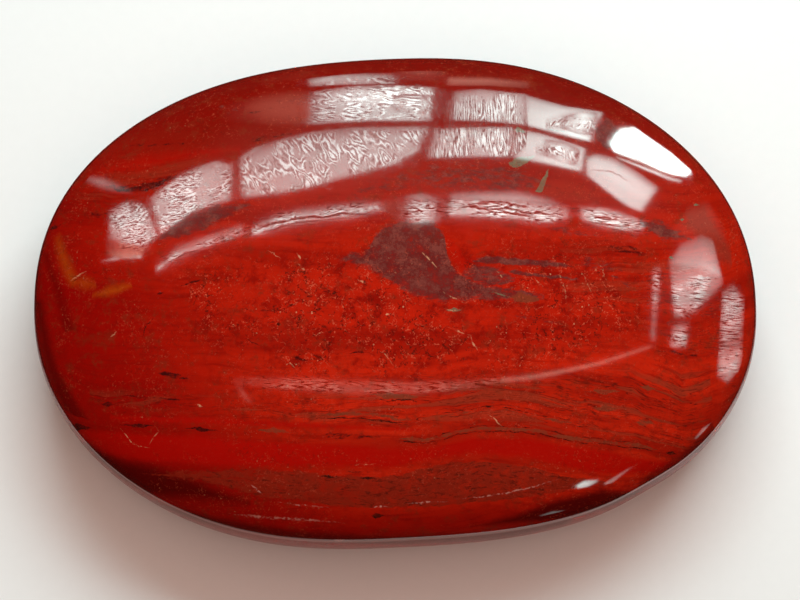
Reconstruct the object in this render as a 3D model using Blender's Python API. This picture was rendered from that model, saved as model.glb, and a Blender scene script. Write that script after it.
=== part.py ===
"""Snakeskin jasper palm stone: one solid oval of polished jasper that fills a palm.

The stone lies on its flattened underside. X runs along its length, Y across its width and Z up,
and the origin is the middle of its base. All sizes are in metres.
"""

import math

import bmesh
import bpy

STONE = "palm_stone"

# Overall size of the stone.
LENGTH = 0.068
WIDTH = 0.0464
THICKNESS = 0.018

# The outline seen from above: a superellipse, with low waves (waves a turn, cosine part and sine
# part as shares of the radius) that fill its shoulders unevenly, as grinding by hand does.
OUTLINE_POWER = 2.17
OUTLINE_STRETCH = 1.61
OUTLINE_WAVES = (
    (2, -0.043, 0.008),
    (3, 0.0015, -0.006),
    (4, -0.015, -0.0066),
)

# One flat spot on the rim, at the right end of the near side: depth as a share of the radius.
FLAT_SPOT_ANGLE = math.radians(-37)
FLAT_SPOT_SPREAD = math.radians(6.5)
FLAT_SPOT_DEPTH = 0.007

# Heights on the side of the stone: its widest line, and the soft edge where the domed top begins.
WIDEST_HEIGHT = 0.0063
EDGE_HEIGHT = 0.0108
EDGE_INSET = 0.017  # share of the radius by which the side leans in, up to the edge
EDGE_ROUNDING = 0.0007  # height over which the edge is rounded, above it and below it

# The top is most of a quarter ellipse. This is how far round it the side cuts it off.
DOME_END = math.radians(79)

# The underside: the share of the radius that is flat, and how squarely it turns up to the side.
BASE_SHARE = 0.46
UNDERSIDE_POWER = 2.15

# Low swells that grinding leaves on the top: height, then wavelength and phase along X and Y.
SWELLS = (
    (0.00010, 0.052, 0.6, 0.047, 1.1),
    (0.00006, 0.031, 2.2, 0.036, 0.3),
)

# Rings of faces on each stretch, from the top of the dome to the middle of the base.
DOME_RINGS = 17
ROUNDING_RINGS = 4
SIDE_RINGS = 4
UNDERSIDE_RINGS = 13
BASE_RINGS = 2
SEGMENTS = 92

# Polished red jasper.
JASPER_RED = (0.33, 0.012, 0.006, 1.0)
JASPER_ROUGHNESS = 0.07


def clear_scene():
    """Removes whatever the file holds, so that the stone is alone in it."""
    for thing in list(bpy.data.objects):
        bpy.data.objects.remove(thing, do_unlink=True)


def outline_radius(angle):
    """Distance from the middle of the stone to its widest line, in units of half its width."""
    along = abs(math.cos(angle)) / OUTLINE_STRETCH
    across = abs(math.sin(angle))
    oval = (along**OUTLINE_POWER + across**OUTLINE_POWER) ** (-1 / OUTLINE_POWER)
    wave = sum(c * math.cos(k * angle) + s * math.sin(k * angle) for k, c, s in OUTLINE_WAVES)
    return oval * (1 + wave)


def flat_spot(angle, share):
    """Share of the radius that the flat spot takes off, most at the rim and nothing in the middle."""
    away = (angle - FLAT_SPOT_ANGLE) / FLAT_SPOT_SPREAD
    return FLAT_SPOT_DEPTH * share**2 * math.exp(-(away**2))


def dome_point(turn):
    """A point of the top's section, as (share of the radius, height), a given turn from its crown."""
    share = (1 - EDGE_INSET) * math.sin(turn) / math.sin(DOME_END)
    fall = (1 - math.cos(turn)) / (1 - math.cos(DOME_END))
    return share, THICKNESS - (THICKNESS - EDGE_HEIGHT) * fall


def side_point(height):
    """A point of the side's section, which leans in more and more up to the edge."""
    up = (height - WIDEST_HEIGHT) / (EDGE_HEIGHT - WIDEST_HEIGHT)
    return 1 - EDGE_INSET * up**2, height


def underside_point(turn):
    """A point of the underside's section, a given turn from the flat base."""
    out = math.sin(turn) ** (2 / UNDERSIDE_POWER)
    up = 1 - math.cos(turn) ** (2 / UNDERSIDE_POWER)
    return BASE_SHARE + (1 - BASE_SHARE) * out, WIDEST_HEIGHT * up


def crossing(first, first_next, second, second_next):
    """Where the line through two points meets the line through two others."""
    ax, ay = first_next[0] - first[0], first_next[1] - first[1]
    bx, by = second_next[0] - second[0], second_next[1] - second[1]
    gap_x, gap_y = second[0] - first[0], second[1] - first[1]
    along = (gap_x * by - gap_y * bx) / (ax * by - ay * bx)
    return first[0] + along * ax, first[1] + along * ay


def section():
    """The section of the stone from its crown to the middle of its base, a point for each ring."""
    kept_fall = 1 - EDGE_ROUNDING / (THICKNESS - EDGE_HEIGHT)
    dome_turn = math.acos(1 - kept_fall * (1 - math.cos(DOME_END)))
    points = [dome_point(dome_turn * ring / DOME_RINGS) for ring in range(DOME_RINGS + 1)]

    side_top = EDGE_HEIGHT - EDGE_ROUNDING
    dome_end = points[-1]
    side_start = side_point(side_top)
    step = 1e-4
    corner = crossing(dome_point(dome_turn - step), dome_end, side_start, side_point(side_top - step))
    for ring in range(1, ROUNDING_RINGS + 1):
        t = ring / ROUNDING_RINGS
        weights = ((1 - t) ** 2, 2 * t * (1 - t), t**2)
        ends = (dome_end, corner, side_start)
        points.append(tuple(sum(w * end[i] for w, end in zip(weights, ends)) for i in range(2)))

    for ring in range(1, SIDE_RINGS + 1):
        points.append(side_point(side_top + (WIDEST_HEIGHT - side_top) * ring / SIDE_RINGS))
    for ring in range(1, UNDERSIDE_RINGS + 1):
        points.append(underside_point(math.pi / 2 * (1 - ring / UNDERSIDE_RINGS)))
    for ring in range(1, BASE_RINGS + 1):
        points.append((BASE_SHARE * (1 - ring / BASE_RINGS), 0.0))
    return points


def swell(x, y, share):
    """How far the ground top stands above or below the even dome. It dies out at the edge."""
    total = 0.0
    for height, wave_x, phase_x, wave_y, phase_y in SWELLS:
        turn_x = 2 * math.pi * x / wave_x + phase_x
        turn_y = 2 * math.pi * y / wave_y + phase_y
        total += height * math.sin(turn_x) * math.cos(turn_y)
    return total * (1 - share**2) ** 2


def fit_to_size(mesh):
    """Centres the stone over the origin and brings it to its overall size exactly."""
    for axis, size in enumerate((LENGTH, WIDTH, THICKNESS)):
        low = min(vertex.co[axis] for vertex in mesh.verts)
        high = max(vertex.co[axis] for vertex in mesh.verts)
        start = 0.0 if axis == 2 else -size / 2
        for vertex in mesh.verts:
            vertex.co[axis] = start + size * (vertex.co[axis] - low) / (high - low)


def jasper():
    """Polished red jasper in its plain colour."""
    material = bpy.data.materials.new("polished_jasper")
    material.use_nodes = True
    shader = material.node_tree.nodes["Principled BSDF"]
    shader.inputs["Base Color"].default_value = JASPER_RED
    shader.inputs["Roughness"].default_value = JASPER_ROUGHNESS
    shader.inputs["Metallic"].default_value = 0.0
    return material


def palm_stone():
    """The whole stone as one closed solid: a sphere whose rings take the places of the section."""
    points = section()
    rings = len(points) - 1
    mesh = bmesh.new()
    bmesh.ops.create_uvsphere(mesh, u_segments=SEGMENTS, v_segments=rings, radius=1.0)
    for vertex in mesh.verts:
        ring = round(vertex.co.normalized().angle((0, 0, 1)) / math.pi * rings)
        angle = math.atan2(vertex.co.y, vertex.co.x)
        share, height = points[ring]
        radius = share * outline_radius(angle) * (1 - flat_spot(angle, share)) * WIDTH / 2
        x = radius * math.cos(angle)
        y = radius * math.sin(angle)
        if height > WIDEST_HEIGHT:
            height += swell(x, y, share)
        vertex.co = (x, y, height)
    fit_to_size(mesh)
    data = bpy.data.meshes.new(STONE)
    mesh.to_mesh(data)
    mesh.free()
    data.shade_smooth()
    data.materials.append(jasper())
    return bpy.data.objects.new(STONE, data)


def main():
    clear_scene()
    collection = bpy.data.collections.new("snakeskin_jasper_palm_stone")
    bpy.context.scene.collection.children.link(collection)
    collection.objects.link(palm_stone())


main()
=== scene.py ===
"""Snakeskin jasper palm stone: the polished red stone, its banding and its stage.

The stone repeats the shape of the solid it replaces, with a finer mesh. Its markings are laid out by the
pixels of the photograph: the photograph's camera is known, so a pixel is a place on the stone. The window
panes that the polish mirrors are laid out the same way, by the pixels where their reflections lie.
"""

import math
from collections import namedtuple

import bpy
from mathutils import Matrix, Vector
from mathutils.bvhtree import BVHTree
from mathutils.interpolate import poly_3d_calc


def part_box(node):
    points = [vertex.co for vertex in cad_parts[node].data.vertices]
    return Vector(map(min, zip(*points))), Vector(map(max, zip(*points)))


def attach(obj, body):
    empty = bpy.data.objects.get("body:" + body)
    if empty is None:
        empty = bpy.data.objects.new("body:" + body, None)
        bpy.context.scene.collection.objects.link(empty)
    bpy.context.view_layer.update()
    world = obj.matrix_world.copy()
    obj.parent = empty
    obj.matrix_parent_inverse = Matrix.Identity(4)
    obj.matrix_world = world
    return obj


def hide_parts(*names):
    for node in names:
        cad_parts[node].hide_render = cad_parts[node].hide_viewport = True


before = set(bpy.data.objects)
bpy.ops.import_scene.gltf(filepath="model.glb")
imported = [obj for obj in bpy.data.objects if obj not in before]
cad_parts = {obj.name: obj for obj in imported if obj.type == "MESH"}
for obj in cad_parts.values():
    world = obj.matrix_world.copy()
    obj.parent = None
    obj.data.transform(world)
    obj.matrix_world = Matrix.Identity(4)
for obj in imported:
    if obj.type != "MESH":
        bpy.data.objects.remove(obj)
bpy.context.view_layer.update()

bl_info = {
    "name": "Snakeskin Jasper Palm Stone",
    "version": (1, 0, 0),
    "blender": (4, 5, 0),
    "location": "3D View > Sidebar > Palm Stone",
    "description": "Makes a polished, banded jasper palm stone and the stage it lies on",
    "category": "Object",
}

CAD_NODE = "palm_stone"
STONE_LOW, STONE_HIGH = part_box(CAD_NODE)
MM = 0.001

# The photograph's frame, in pixels, and the camera's sensor, in millimetres.
PHOTO_WIDTH = 800
PHOTO_HEIGHT = 600
SENSOR_WIDTH = 36.0

# The outline seen from above: a superellipse, with low waves (waves a turn, cosine part and sine
# part as shares of the radius) that fill its shoulders unevenly, as grinding by hand does.
OUTLINE_POWER = 2.17
OUTLINE_STRETCH = 1.61
OUTLINE_WAVES = (
    (2, -0.043, 0.008),
    (3, 0.0015, -0.006),
    (4, -0.015, -0.0066),
)

# One flat spot on the rim, at the right end of the near side: depth as a share of the radius.
FLAT_SPOT_ANGLE = math.radians(-37)
FLAT_SPOT_SPREAD = math.radians(6.5)
FLAT_SPOT_DEPTH = 0.007

# The section, with heights in metres: the widest line, and the soft edge where the domed top begins.
WIDEST_HEIGHT = 0.0063
EDGE_HEIGHT = 0.0108
EDGE_INSET = 0.017
EDGE_ROUNDING = 0.0007
DOME_END = math.radians(79)
BASE_SHARE = 0.46
UNDERSIDE_POWER = 2.15

# Low swells that grinding leaves on the top: height, then wavelength and phase along X and Y.
SWELLS = (
    (0.00010, 0.052, 0.6, 0.047, 1.1),
    (0.00006, 0.031, 2.2, 0.036, 0.3),
)

# Rings of faces on each stretch, from the top of the dome to the middle of the base.
DOME_RINGS = 64
ROUNDING_RINGS = 10
SIDE_RINGS = 12
UNDERSIDE_RINGS = 30
BASE_RINGS = 4
SEGMENTS = 640

# How the bands dip through the stone: how far they shift along X and Y for each unit of height.
DIP_ALONG = 0.25
DIP_ACROSS = 0.6

# The texture map: the top takes its upper part, the underside its lower part.
TOP_CHART = (0.345, 0.99)
UNDERSIDE_CHART = (0.01, 0.325)
CHART_SIDES = (0.01, 0.99)

# How the layers lie, in millimetres.
LAYER_BEND_ZONE = (12.0, 0.0)  # the places across the banding between which they come to follow LAYER_LINE
ARCH_HALF_LENGTH = 30.0  # half the length over which they are arched in the far half
LAYER_SWING = 2.2  # how far a noise makes them swing

# How slowly a noise changes along the layers, as a share of how it changes across them.
STRETCHES = {"layers": 0.1, "lens": 0.2, "dashes": 0.35, "streaks": 0.4}

# How far a noise moves the places of the marks and of other noises about, in millimetres.
WANDERS = {"ragged": 0.55, "clouds": 0.8, "lens_cracks": 0.4, "specks": 0.5, "curls": 1.0, "strokes": 0.8,
           "ripples": 0.28}

Noise = namedtuple("Noise", "scale octaves roughness distortion", defaults=(0.5, 0.0))
# The noises: bends in a millimetre, octaves, how strong the finer octaves are, and distortion. The floor's
# has its bends in a metre, and RIPPLES stretches that of the ripples.
NOISES = {
    "wander": Noise(1.1, 4.0, 0.65),
    "swing": Noise(0.16, 3.0),
    "broad": Noise(0.35, 4.0, 0.6),
    "laminae": Noise(1.7, 4.0, 0.68),
    "blotches": Noise(0.6, 4.0, 0.74),
    "clouds": Noise(0.75, 4.0, 0.64),
    "thick_layers": Noise(1.15, 2.0, 0.55, 0.2),
    "thin_layers": Noise(2.4, 3.0, 0.6, 0.2),
    "breaks": Noise(1.2, 3.0),
    "lens_cracks": Noise(1.9, 3.0, 0.55),
    "streaks": Noise(2.4, 4.0, 0.7),
    "dashes": Noise(3.0, 3.0, 0.6),
    "dots": Noise(3.6, 2.0, 0.6),
    "mottling": Noise(0.8, 4.0, 0.82),
    "speck_field": Noise(0.2, 3.0, 0.6),
    "chain_dots": Noise(5.5, 2.0),
    "curls": Noise(0.9, 3.0, 0.6),
    "strokes": Noise(0.9, 3.0, 0.62),
    "ripples": Noise(1.0, 2.0, 0.45),
    "broken_polish": Noise(2.8, 3.0, 0.7),
    "clusters": Noise(0.42, 3.0, 0.6),
    "slow_relief": Noise(0.25, 2.0),
    "fine_relief": Noise(2.4, 2.0),
    "dullness": Noise(1.3, 2.0, 0.7),
    "floor": Noise(900.0, 3.0),
}
MIDDLE_LEVEL = 0.5  # the level that half of a noise lies above

# The level of the layers' noises where a brown layer starts, and for each of these noises how wide its dark
# hairline is, in steps of that level, and how strong.
LAYER_EDGE = 0.53
LAYER_HAIRLINES = {"thick_layers": (0.016, 0.8), "thin_layers": (0.026, 0.65)}

Fade = namedtuple("Fade", "start end low high", defaults=(0.0, 1.0))
# How one value becomes another: where the change starts and ends, and the numbers before and after it.
FADES = {
    # By the place across the banding, in millimetres from the middle of the stone.
    "arch": Fade(8.0, 27.0, 0.0, 9.0),
    "near_red": Fade(8.0, -4.0),
    "bright_half": Fade(14.0, 6.0),
    # The next three paint shade: a darker red towards the far rim, and a darker, purer red towards the near
    # left end and the near rim.
    "shaded_far_red": Fade(11.0, 27.0),
    "left_end_shading": Fade(4.0, -24.0, 0.0, 0.9),
    "near_rim_shading": Fade(-9.0, -14.0, 0.0, 0.7),
    # By the height above the floor, in millimetres.
    "below_edge": Fade(10.4, 9.7),
    "above_underside": Fade(4.0, 6.0),
    # By the mask of the speckled middle.
    "laminae_middle": Fade(0.2, 1.0, 1.0, 0.35),
    "clouds_middle": Fade(0.0, 1.0, 0.2, 1.0),
    # By the level of a noise.
    "bright": Fade(0.48, 0.34, 0.0, 0.5),
    "deep_bands": Fade(0.42, 0.68, 0.0, 0.6),
    "rust": Fade(0.52, 0.68, 0.0, 0.6),
    "laminae": Fade(0.5, 0.7, 0.0, 0.6),
    "clouds": Fade(0.47, 0.66, 0.0, 0.8),
    "layer_fill": Fade(LAYER_EDGE, LAYER_EDGE + 0.06, 0.0, 0.55),
    "layer_breaks": Fade(0.4, 0.56, 0.35, 1.0),
    "lens_breaks": Fade(0.42, 0.58),
    "depth": Fade(0.33, 0.6, 0.55, 1.0),
    "pale_maroon": Fade(0.42, 0.64),
    "crack_dots": Fade(0.4, 0.5, 0.45, 1.0),
    "vein_dots": Fade(0.45, 0.56, 0.05, 1.0),
    "speck_field": Fade(0.4, 0.58, 0.12, 1.0),
    "chain_dots": Fade(0.47, 0.58),
    "stroke_breaks": Fade(0.58, 0.46),
    "clusters": Fade(0.33, 0.55, 0.45, 1.25),
    # By how far the level of a noise is from the line that is drawn.
    "lens_cracks": Fade(0.04, 0.008, 0.0, 0.62),
    "chain": Fade(0.02, 0.004),
    "stroke": Fade(0.026, 0.006),
    # By a mask with a noise added to it.
    "broken_edge": Fade(0.32, 0.72),
    "broken_maroon_edge": Fade(0.32, 0.85),
    # By how deeply the polish is cracked, and by the height of its ripples.
    "unrest": Fade(0.75, 1.0, 2.4, 1.6),
    "cracks": Fade(-0.7, -1.1),
    "coat": Fade(0.1, 1.5, 0.1, 1.0),
}
SHADING_SLANT = 0.9  # how much the edge of the painted shade in blood red slants towards the near left end
BREAK_UP = 1.7  # how strongly a noise breaks up the edges of the marks
REST_LIKE_MIDDLE = 0.35  # how much of the middle's specks and clouds the rest of the stone has
SPECKS_IN_MAROON = 0.4  # how much of them the maroon has

Specks = namedtuple("Specks", "spacing size share")
# The pale and the dark specks: spacing and size in millimetres, and the share of the places with one.
SPECKS = {"pale": Specks(0.7, 0.09, 0.3), "dark": Specks(0.8, 0.15, 0.4)}
SHARE_STEP = 0.02  # softness of the choice of those places
DARK_SHIFT = (0.13, -0.09, 0.05)  # millimetres from the pattern of the pale specks to that of the dark ones
STROKE_SHIFT = (7.0, 3.0, 0.0)  # millimetres from the pattern of the curls to that of the dark strokes
STROKE_STRENGTH = 0.95
CHAIN_STRENGTH = 0.85
SPECK_STRENGTH = 0.6

# The polish.
RIPPLE_REPEATS = 64.0  # how fast the ripples follow one another over their noise
CLUSTER_HEIGHT = 3.0  # how unevenly they mirror from place to place
PLAIN_COAT = 0.75  # the coat where there are no ripples
COAT_IOR = 1.54
STONE_IOR = 1.38
PLAIN_GLOSS = 0.5  # the specular level, and what the cracks and the side take from it
CRACK_GLOSS_LOSS = 0.45
SIDE_GLOSS_LOSS = 0.2
DULLNESS_LEVELS = (0.3, 0.8)  # the levels of a noise between which the roughness doubles
CRACK_DULLNESS = 0.2  # what the cracks, the drawn cracks and the side add to the roughness
DRAWN_CRACK_DULLNESS = 0.5
SIDE_DULLNESS = 0.15
CRACK_AND_TROUGH_DARKNESS = 0.6  # how much black a crack takes; in the ripples' troughs this is painted shade
SLOW_RELIEF_HEIGHT = 0.004  # millimetres, and the next too
FINE_RELIEF_HEIGHT = 0.0006

# The mirrored panes.
PANE_COLUMNS = 32  # the grid of each sheet
PANE_ROWS = 12
MIRROR_REACH = 0.5  # metres from the stone to the panes that it mirrors
EDGE_FADE = 4.0  # pixels over which a pane fades towards its edges
EDGE_FADE_SHARE = 0.3  # the share of a pane's height that this takes at most
EDGE_GLOW = 0.35  # the share of its glow that it keeps there
LOWER_EDGE_CRISPNESS = 3  # how much faster it fades at its lower edge

# The stage, in metres. The card is a dark sheet round the stone that only the polish shows.
FLOOR_HALF = 1.5
FLOOR_SHADE = 0.97  # brightness of the floor's darker grain
FLOOR_ROUGHNESS = 0.75
FLOOR_GLOSS = 0.2
CARD_HEIGHT = 0.0005
CARD_REACH = 1.0
CARD_CORNERS = 96
CARD_COLOUR = (0.01, 0.008, 0.006)
CARD_ROUGHNESS = 0.9
ROOM_COLOUR = (1.0, 0.97, 0.94)
WINDOW_PLACE = (0.05, 0.205, 0.24)
WINDOW_SIZE = (0.28, 0.15)
FILL_PLACE = (0.0, -0.05, 0.35)
FILL_SIZE = (0.50, 0.50)
NEAREST_SIGHT = 0.01  # how near and how far the camera sees
FARTHEST_SIGHT = 10.0

Patch = namedtuple("Patch", "upper lower soft strength ragged steep", defaults=(1.0, True, False))
Streak = namedtuple("Streak", "line width soft strength ragged steep", defaults=(1.6, 1.0, True, False))
Ripples = namedtuple("Ripples", "upper lower soft slant scale share cracked")
Pane = namedtuple("Pane", "upper lower down across strength reach warm", defaults=(MIRROR_REACH, False))

# The share of a mark's soft edge that lies outside its line, and the share of a fine line's width that is
# dark all the way.
OUTER_SHARE = 0.25
LINE_CORE = 0.25

# The markings, by the pixels of the photograph. A patch lies between an upper and a lower edge, and a
# streak follows a line. Widths and softness are in pixels too. The edges of a ragged mark wander a little,
# and a steep mark runs more down the photograph than along it.
MAROON = {
    "heart": Patch(
        ((334, 255), (350, 250), (362, 250), (370, 243), (375, 230), (385, 222), (401, 217), (433, 217),
         (445, 230), (447, 250), (454, 264), (463, 272), (480, 279), (505, 284), (544, 291)),
        ((334, 262), (350, 267), (372, 273), (386, 283), (400, 292), (420, 301), (440, 304), (470, 303),
         (500, 304), (544, 304)),
        soft=15,
    ),
    "heart_side": Patch(
        ((462, 268), (478, 260), (500, 265), (516, 274)), ((462, 278), (480, 288), (500, 290), (516, 284)),
        soft=10, strength=0.75,
    ),
    "tail_1": Streak(((466, 262), (482, 260), (500, 260), (525, 262), (552, 264), (584, 268)), 10, soft=6,
                     strength=0.95),
    "tail_2": Streak(((500, 271), (514, 272), (530, 275), (556, 277), (596, 283)), 6, soft=4, strength=0.9),
    "tail_blotch": Patch(
        ((574, 258), (590, 252), (622, 262)), ((574, 266), (596, 275), (622, 276)), soft=16, strength=0.62,
    ),
    "tail_streak": Streak(((600, 268), (614, 276), (632, 289), (652, 296)), 8, soft=8, strength=0.62),
    "lower_tail": Streak(((498, 314), (520, 317), (552, 322), (574, 325)), 5, soft=4, strength=0.6),
    "upper_left_cloud": Patch(
        ((200, 106), (222, 98), (248, 104)), ((200, 110), (226, 118), (248, 112)),
        soft=16, strength=0.45,
    ),
    "corner_shade": Patch(
        ((596, 128), (606, 116), (618, 124)), ((596, 142), (606, 152), (618, 150)),
        soft=7, strength=0.8,
    ),
    "field": Patch(
        ((410, 166), (430, 160), (480, 157), (520, 160), (552, 182)),
        ((410, 176), (430, 194), (480, 198), (520, 198), (552, 190)),
        soft=18, strength=0.6,
    ),
    "field_left": Patch(
        ((200, 214), (224, 200), (260, 204), (330, 194), (400, 168), (432, 176)),
        ((200, 218), (224, 216), (260, 214), (330, 204), (400, 194), (432, 186)),
        soft=14, strength=0.5,
    ),
    "sill_foot": Patch(
        ((536, 222), (560, 223), (590, 229), (628, 236)), ((536, 229), (560, 237), (590, 241), (628, 242)),
        soft=10, strength=0.6,
    ),
    "left_band": Patch(
        ((154, 236), (172, 221), (190, 209), (216, 200), (252, 200)),
        ((154, 243), (178, 243), (200, 236), (222, 225), (252, 208)),
        soft=15, strength=0.85,
    ),
    "left_band_core": Patch(
        ((162, 236), (180, 224), (200, 215)), ((162, 239), (184, 236), (204, 226)), soft=10, strength=0.7,
    ),
    "right_shade": Patch(
        ((640, 216), (662, 217), (692, 236)), ((640, 228), (662, 243), (692, 243)),
        soft=14, strength=0.9,
    ),
}
DARK = {
    "top_line": Streak(((104, 147), (136, 145), (180, 143), (232, 141)), 5, soft=5, strength=0.6),
    "rising_streak": Streak(((96, 184), (122, 190), (142, 188), (164, 181), (188, 171)), 13, soft=11,
                            strength=0.85),
    "left_streak": Streak(((80, 214), (98, 215), (116, 211)), 10, soft=8, strength=0.7),
    "rim_streak": Streak(((44, 230), (54, 227), (64, 224)), 8, soft=4, strength=0.7),
    "upper_line": Streak(((228, 144), (252, 140), (280, 136), (308, 129)), 7, soft=6, strength=0.62),
    "upper_streak": Streak(((236, 116), (256, 112), (282, 106)), 7, soft=5, strength=0.5),
    "rising_left": Streak(((172, 290), (188, 284), (210, 276)), 5, soft=3, strength=0.75),
    "rising_left_end": Streak(((153, 297), (160, 294), (169, 291)), 4.5, soft=3, strength=0.75),
    "right_lens": Patch(
        ((584, 244), (614, 238), (636, 243), (660, 256)), ((584, 248), (614, 255), (636, 259), (660, 260)),
        soft=14, strength=0.6,
    ),
    "far_right_streak": Streak(((640, 350), (672, 352), (696, 356), (724, 358)), 7, soft=7, strength=0.6),
    "left_lens": Streak(((148, 375), (166, 374), (182, 377), (198, 383)), 8, soft=5, strength=0.65),
    "lower_left_line": Streak(((96, 396), (128, 396), (153, 398), (177, 400), (200, 398)), 4, soft=4,
                              strength=0.7),
    "lower_left_patch": Streak(((98, 404), (108, 404), (118, 405)), 7, soft=4, strength=0.8),
    "rim_dark": Streak(((62, 422), (78, 427), (96, 428)), 9, soft=5, strength=0.9),
    "lower_left_streak": Streak(((112, 425), (138, 425), (162, 426)), 6, soft=3.5, strength=0.95),
    "lower_left_streak_2": Streak(((176, 427), (200, 429), (222, 432)), 6, soft=4, strength=0.9),
    "middle_lens": Streak(((281, 354), (300, 358), (320, 365)), 6, soft=4, strength=0.7),
    "square_step": Patch(
        ((323, 434), (328, 431), (352, 432), (378, 432), (384, 434)),
        ((323, 436), (328, 440), (352, 441), (378, 440), (384, 438)),
        soft=6, strength=0.5,
    ),
    "hairline_centre": Streak(
        ((228, 307), (246, 310), (262, 311), (280, 310), (292, 305), (305, 298), (318, 293), (334, 291),
         (352, 290)), 4, soft=3.5, strength=0.6,
    ),
    "hairline_low": Streak(((240, 336), (252, 342), (268, 348)), 3, soft=2, strength=0.7),
    "hairline_mid": Streak(((336, 354), (360, 352), (384, 355)), 3, soft=2, strength=0.75),
}
# Painted shade: soft darker red along the rims, where less light falls.
SHADE = {
    "left_end": Patch(
        ((84, 438), (120, 456), (150, 462), (190, 474), (250, 500)),
        ((84, 444), (120, 478), (150, 496), (190, 502), (250, 506)),
        soft=22, strength=0.85,
    ),
    "right_end": Patch(
        ((470, 526), (520, 511), (560, 496), (600, 487), (642, 488)),
        ((470, 528), (520, 525), (560, 521), (600, 511), (642, 492)),
        soft=15, strength=0.9,
    ),
    "near_rim": Patch(
        ((150, 498), (200, 512), (300, 529), (400, 534), (500, 529), (570, 512)),
        ((150, 508), (200, 522), (300, 541), (400, 545), (500, 540), (570, 524)),
        soft=14, strength=0.75,
    ),
    "right_rim": Patch(
        ((640, 478), (680, 452), (712, 420)), ((640, 492), (680, 470), (712, 440)), soft=16, strength=0.6,
    ),
    "left_rim": Patch(
        ((34, 300), (46, 370), (64, 410)), ((44, 300), (60, 370), (90, 420)),
        soft=14, strength=0.6, steep=True,
    ),
    "gold_shade": Patch(
        ((42, 252), (52, 292), (60, 330)), ((50, 252), (66, 292), (78, 330)), soft=14, strength=0.45,
        steep=True,
    ),
}
# Partly the jasper's paler red in the far half, partly painted reflection: the faint haze that the polish
# mirrors beside the panes.
PALE_RED_AND_HAZE = {
    "upper_left": Patch(
        ((244, 104), (262, 92), (284, 88), (310, 92)), ((244, 112), (262, 124), (284, 127), (310, 126)),
        soft=20, strength=0.9,
    ),
    "top_left": Patch(
        ((262, 78), (290, 70), (316, 68)), ((262, 84), (290, 82), (316, 78)), soft=12, strength=0.5,
    ),
    "top_right": Patch(
        ((450, 74), (480, 72), (530, 76)), ((450, 84), (480, 86), (530, 84)), soft=10, strength=0.4,
    ),
    "sill_gap": Patch(
        ((384, 200), (396, 196), (406, 200)), ((384, 214), (396, 222), (406, 216)), soft=10, strength=0.6,
    ),
    "right_upper": Patch(
        ((686, 206), (704, 202), (730, 244)), ((690, 232), (712, 258), (732, 270)), soft=16, strength=0.8,
    ),
    "far_right": Patch(
        ((536, 180), (570, 178), (600, 190)), ((536, 198), (570, 204), (600, 206)), soft=12, strength=0.35,
    ),
}
# Two long layers: each has a brown fill between two black hairlines, half of its height above and below it.
LONG_BAND_HALF = 2.6
SHORT_BAND_HALF = 2.4
LONG_BAND = (
    (384, 438), (408, 439), (425, 440.4), (441, 437.5), (458, 432), (477, 429), (491, 428.5), (513, 428.7),
    (543, 431.5), (560, 436), (580, 440), (600, 441), (623, 444), (645, 446), (668, 453),
)
SHORT_BAND = (
    (425, 420), (447, 414), (469, 412), (484, 409), (506, 409.6), (528, 415.5), (560, 421), (580, 424.6),
    (604, 427),
)
BROWN = {
    "long_band": Streak(LONG_BAND, 5, soft=2.5, strength=0.62),
    "short_band": Streak(SHORT_BAND, 4.5, soft=2.5, strength=0.5),
    "upper_layer": Streak(((364, 393), (385, 396), (408, 397), (432, 396)), 8, soft=4, strength=0.8),
    "middle_layer": Streak(((300, 414), (335, 414), (374, 414), (400, 419), (432, 420)), 6, soft=4,
                           strength=0.7),
    "lower_lens": Streak(((252, 430), (274, 431), (298, 433)), 8, soft=4, strength=0.85),
    "lens_1": Streak(((586, 391), (605, 392), (628, 391)), 8, soft=4, strength=0.8),
    "lens_2": Streak(((632, 386), (648, 388), (664, 390)), 7, soft=4, strength=0.8),
    "lens_3": Streak(((586, 408), (606, 408), (628, 410)), 9, soft=5, strength=0.8),
    "lens_4": Streak(((628, 422), (643, 422), (660, 426)), 10, soft=5, strength=0.7),
    "heart_lens": Patch(
        ((508, 297), (518, 291), (538, 296)), ((508, 299), (524, 304), (538, 302)),
        soft=4, strength=0.9,
    ),
}
LENS = {
    "bottom_lens": Patch(
        ((270, 470), (298, 469), (320, 473), (340, 474), (382, 475), (401, 473),
         (420, 468), (439, 464), (453, 461), (469, 460), (495, 460.6), (523, 464), (546, 469.5), (561, 474),
         (587, 478), (604, 480)),
        ((270, 488), (300, 502), (330, 507), (380, 509), (440, 507), (500, 502), (550, 495), (604, 484)),
        soft=7, strength=1.0,
    ),
    "lens_tail": Patch(
        ((140, 471), (200, 466), (262, 465), (310, 471)), ((140, 476), (200, 484), (262, 500), (310, 504)),
        soft=14, strength=0.75,
    ),
}
CLEAN = {
    "lower_band": Patch(
        ((80, 428), (110, 430), (200, 434), (330, 442), (390, 446), (430, 446), (470, 436), (530, 436),
         (600, 448), (680, 460)),
        ((80, 440), (110, 458), (200, 466), (330, 468), (390, 470), (430, 462), (470, 456), (530, 460),
         (600, 476), (680, 466)),
        soft=10, strength=0.9,
    ),
    "bright_ear": Patch(
        ((446, 232), (454, 240), (466, 258), (478, 256)), ((446, 250), (454, 264), (464, 272), (478, 260)),
        soft=6, strength=0.4,
    ),
    "upper_left_sweep": Patch(
        ((98, 168), (136, 154), (190, 148), (240, 146)), ((98, 174), (136, 174), (190, 160), (240, 152)),
        soft=12, strength=0.5,
    ),
    "bright_stripe": Patch(
        ((110, 414), (200, 416), (300, 421), (420, 428)), ((110, 420), (200, 424), (300, 428), (420, 432)),
        soft=5, strength=0.7,
    ),
    "bright_patch": Patch(
        ((488, 272), (504, 268), (536, 284)), ((488, 276), (510, 284), (536, 292)), soft=6, strength=0.4,
    ),
}
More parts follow.
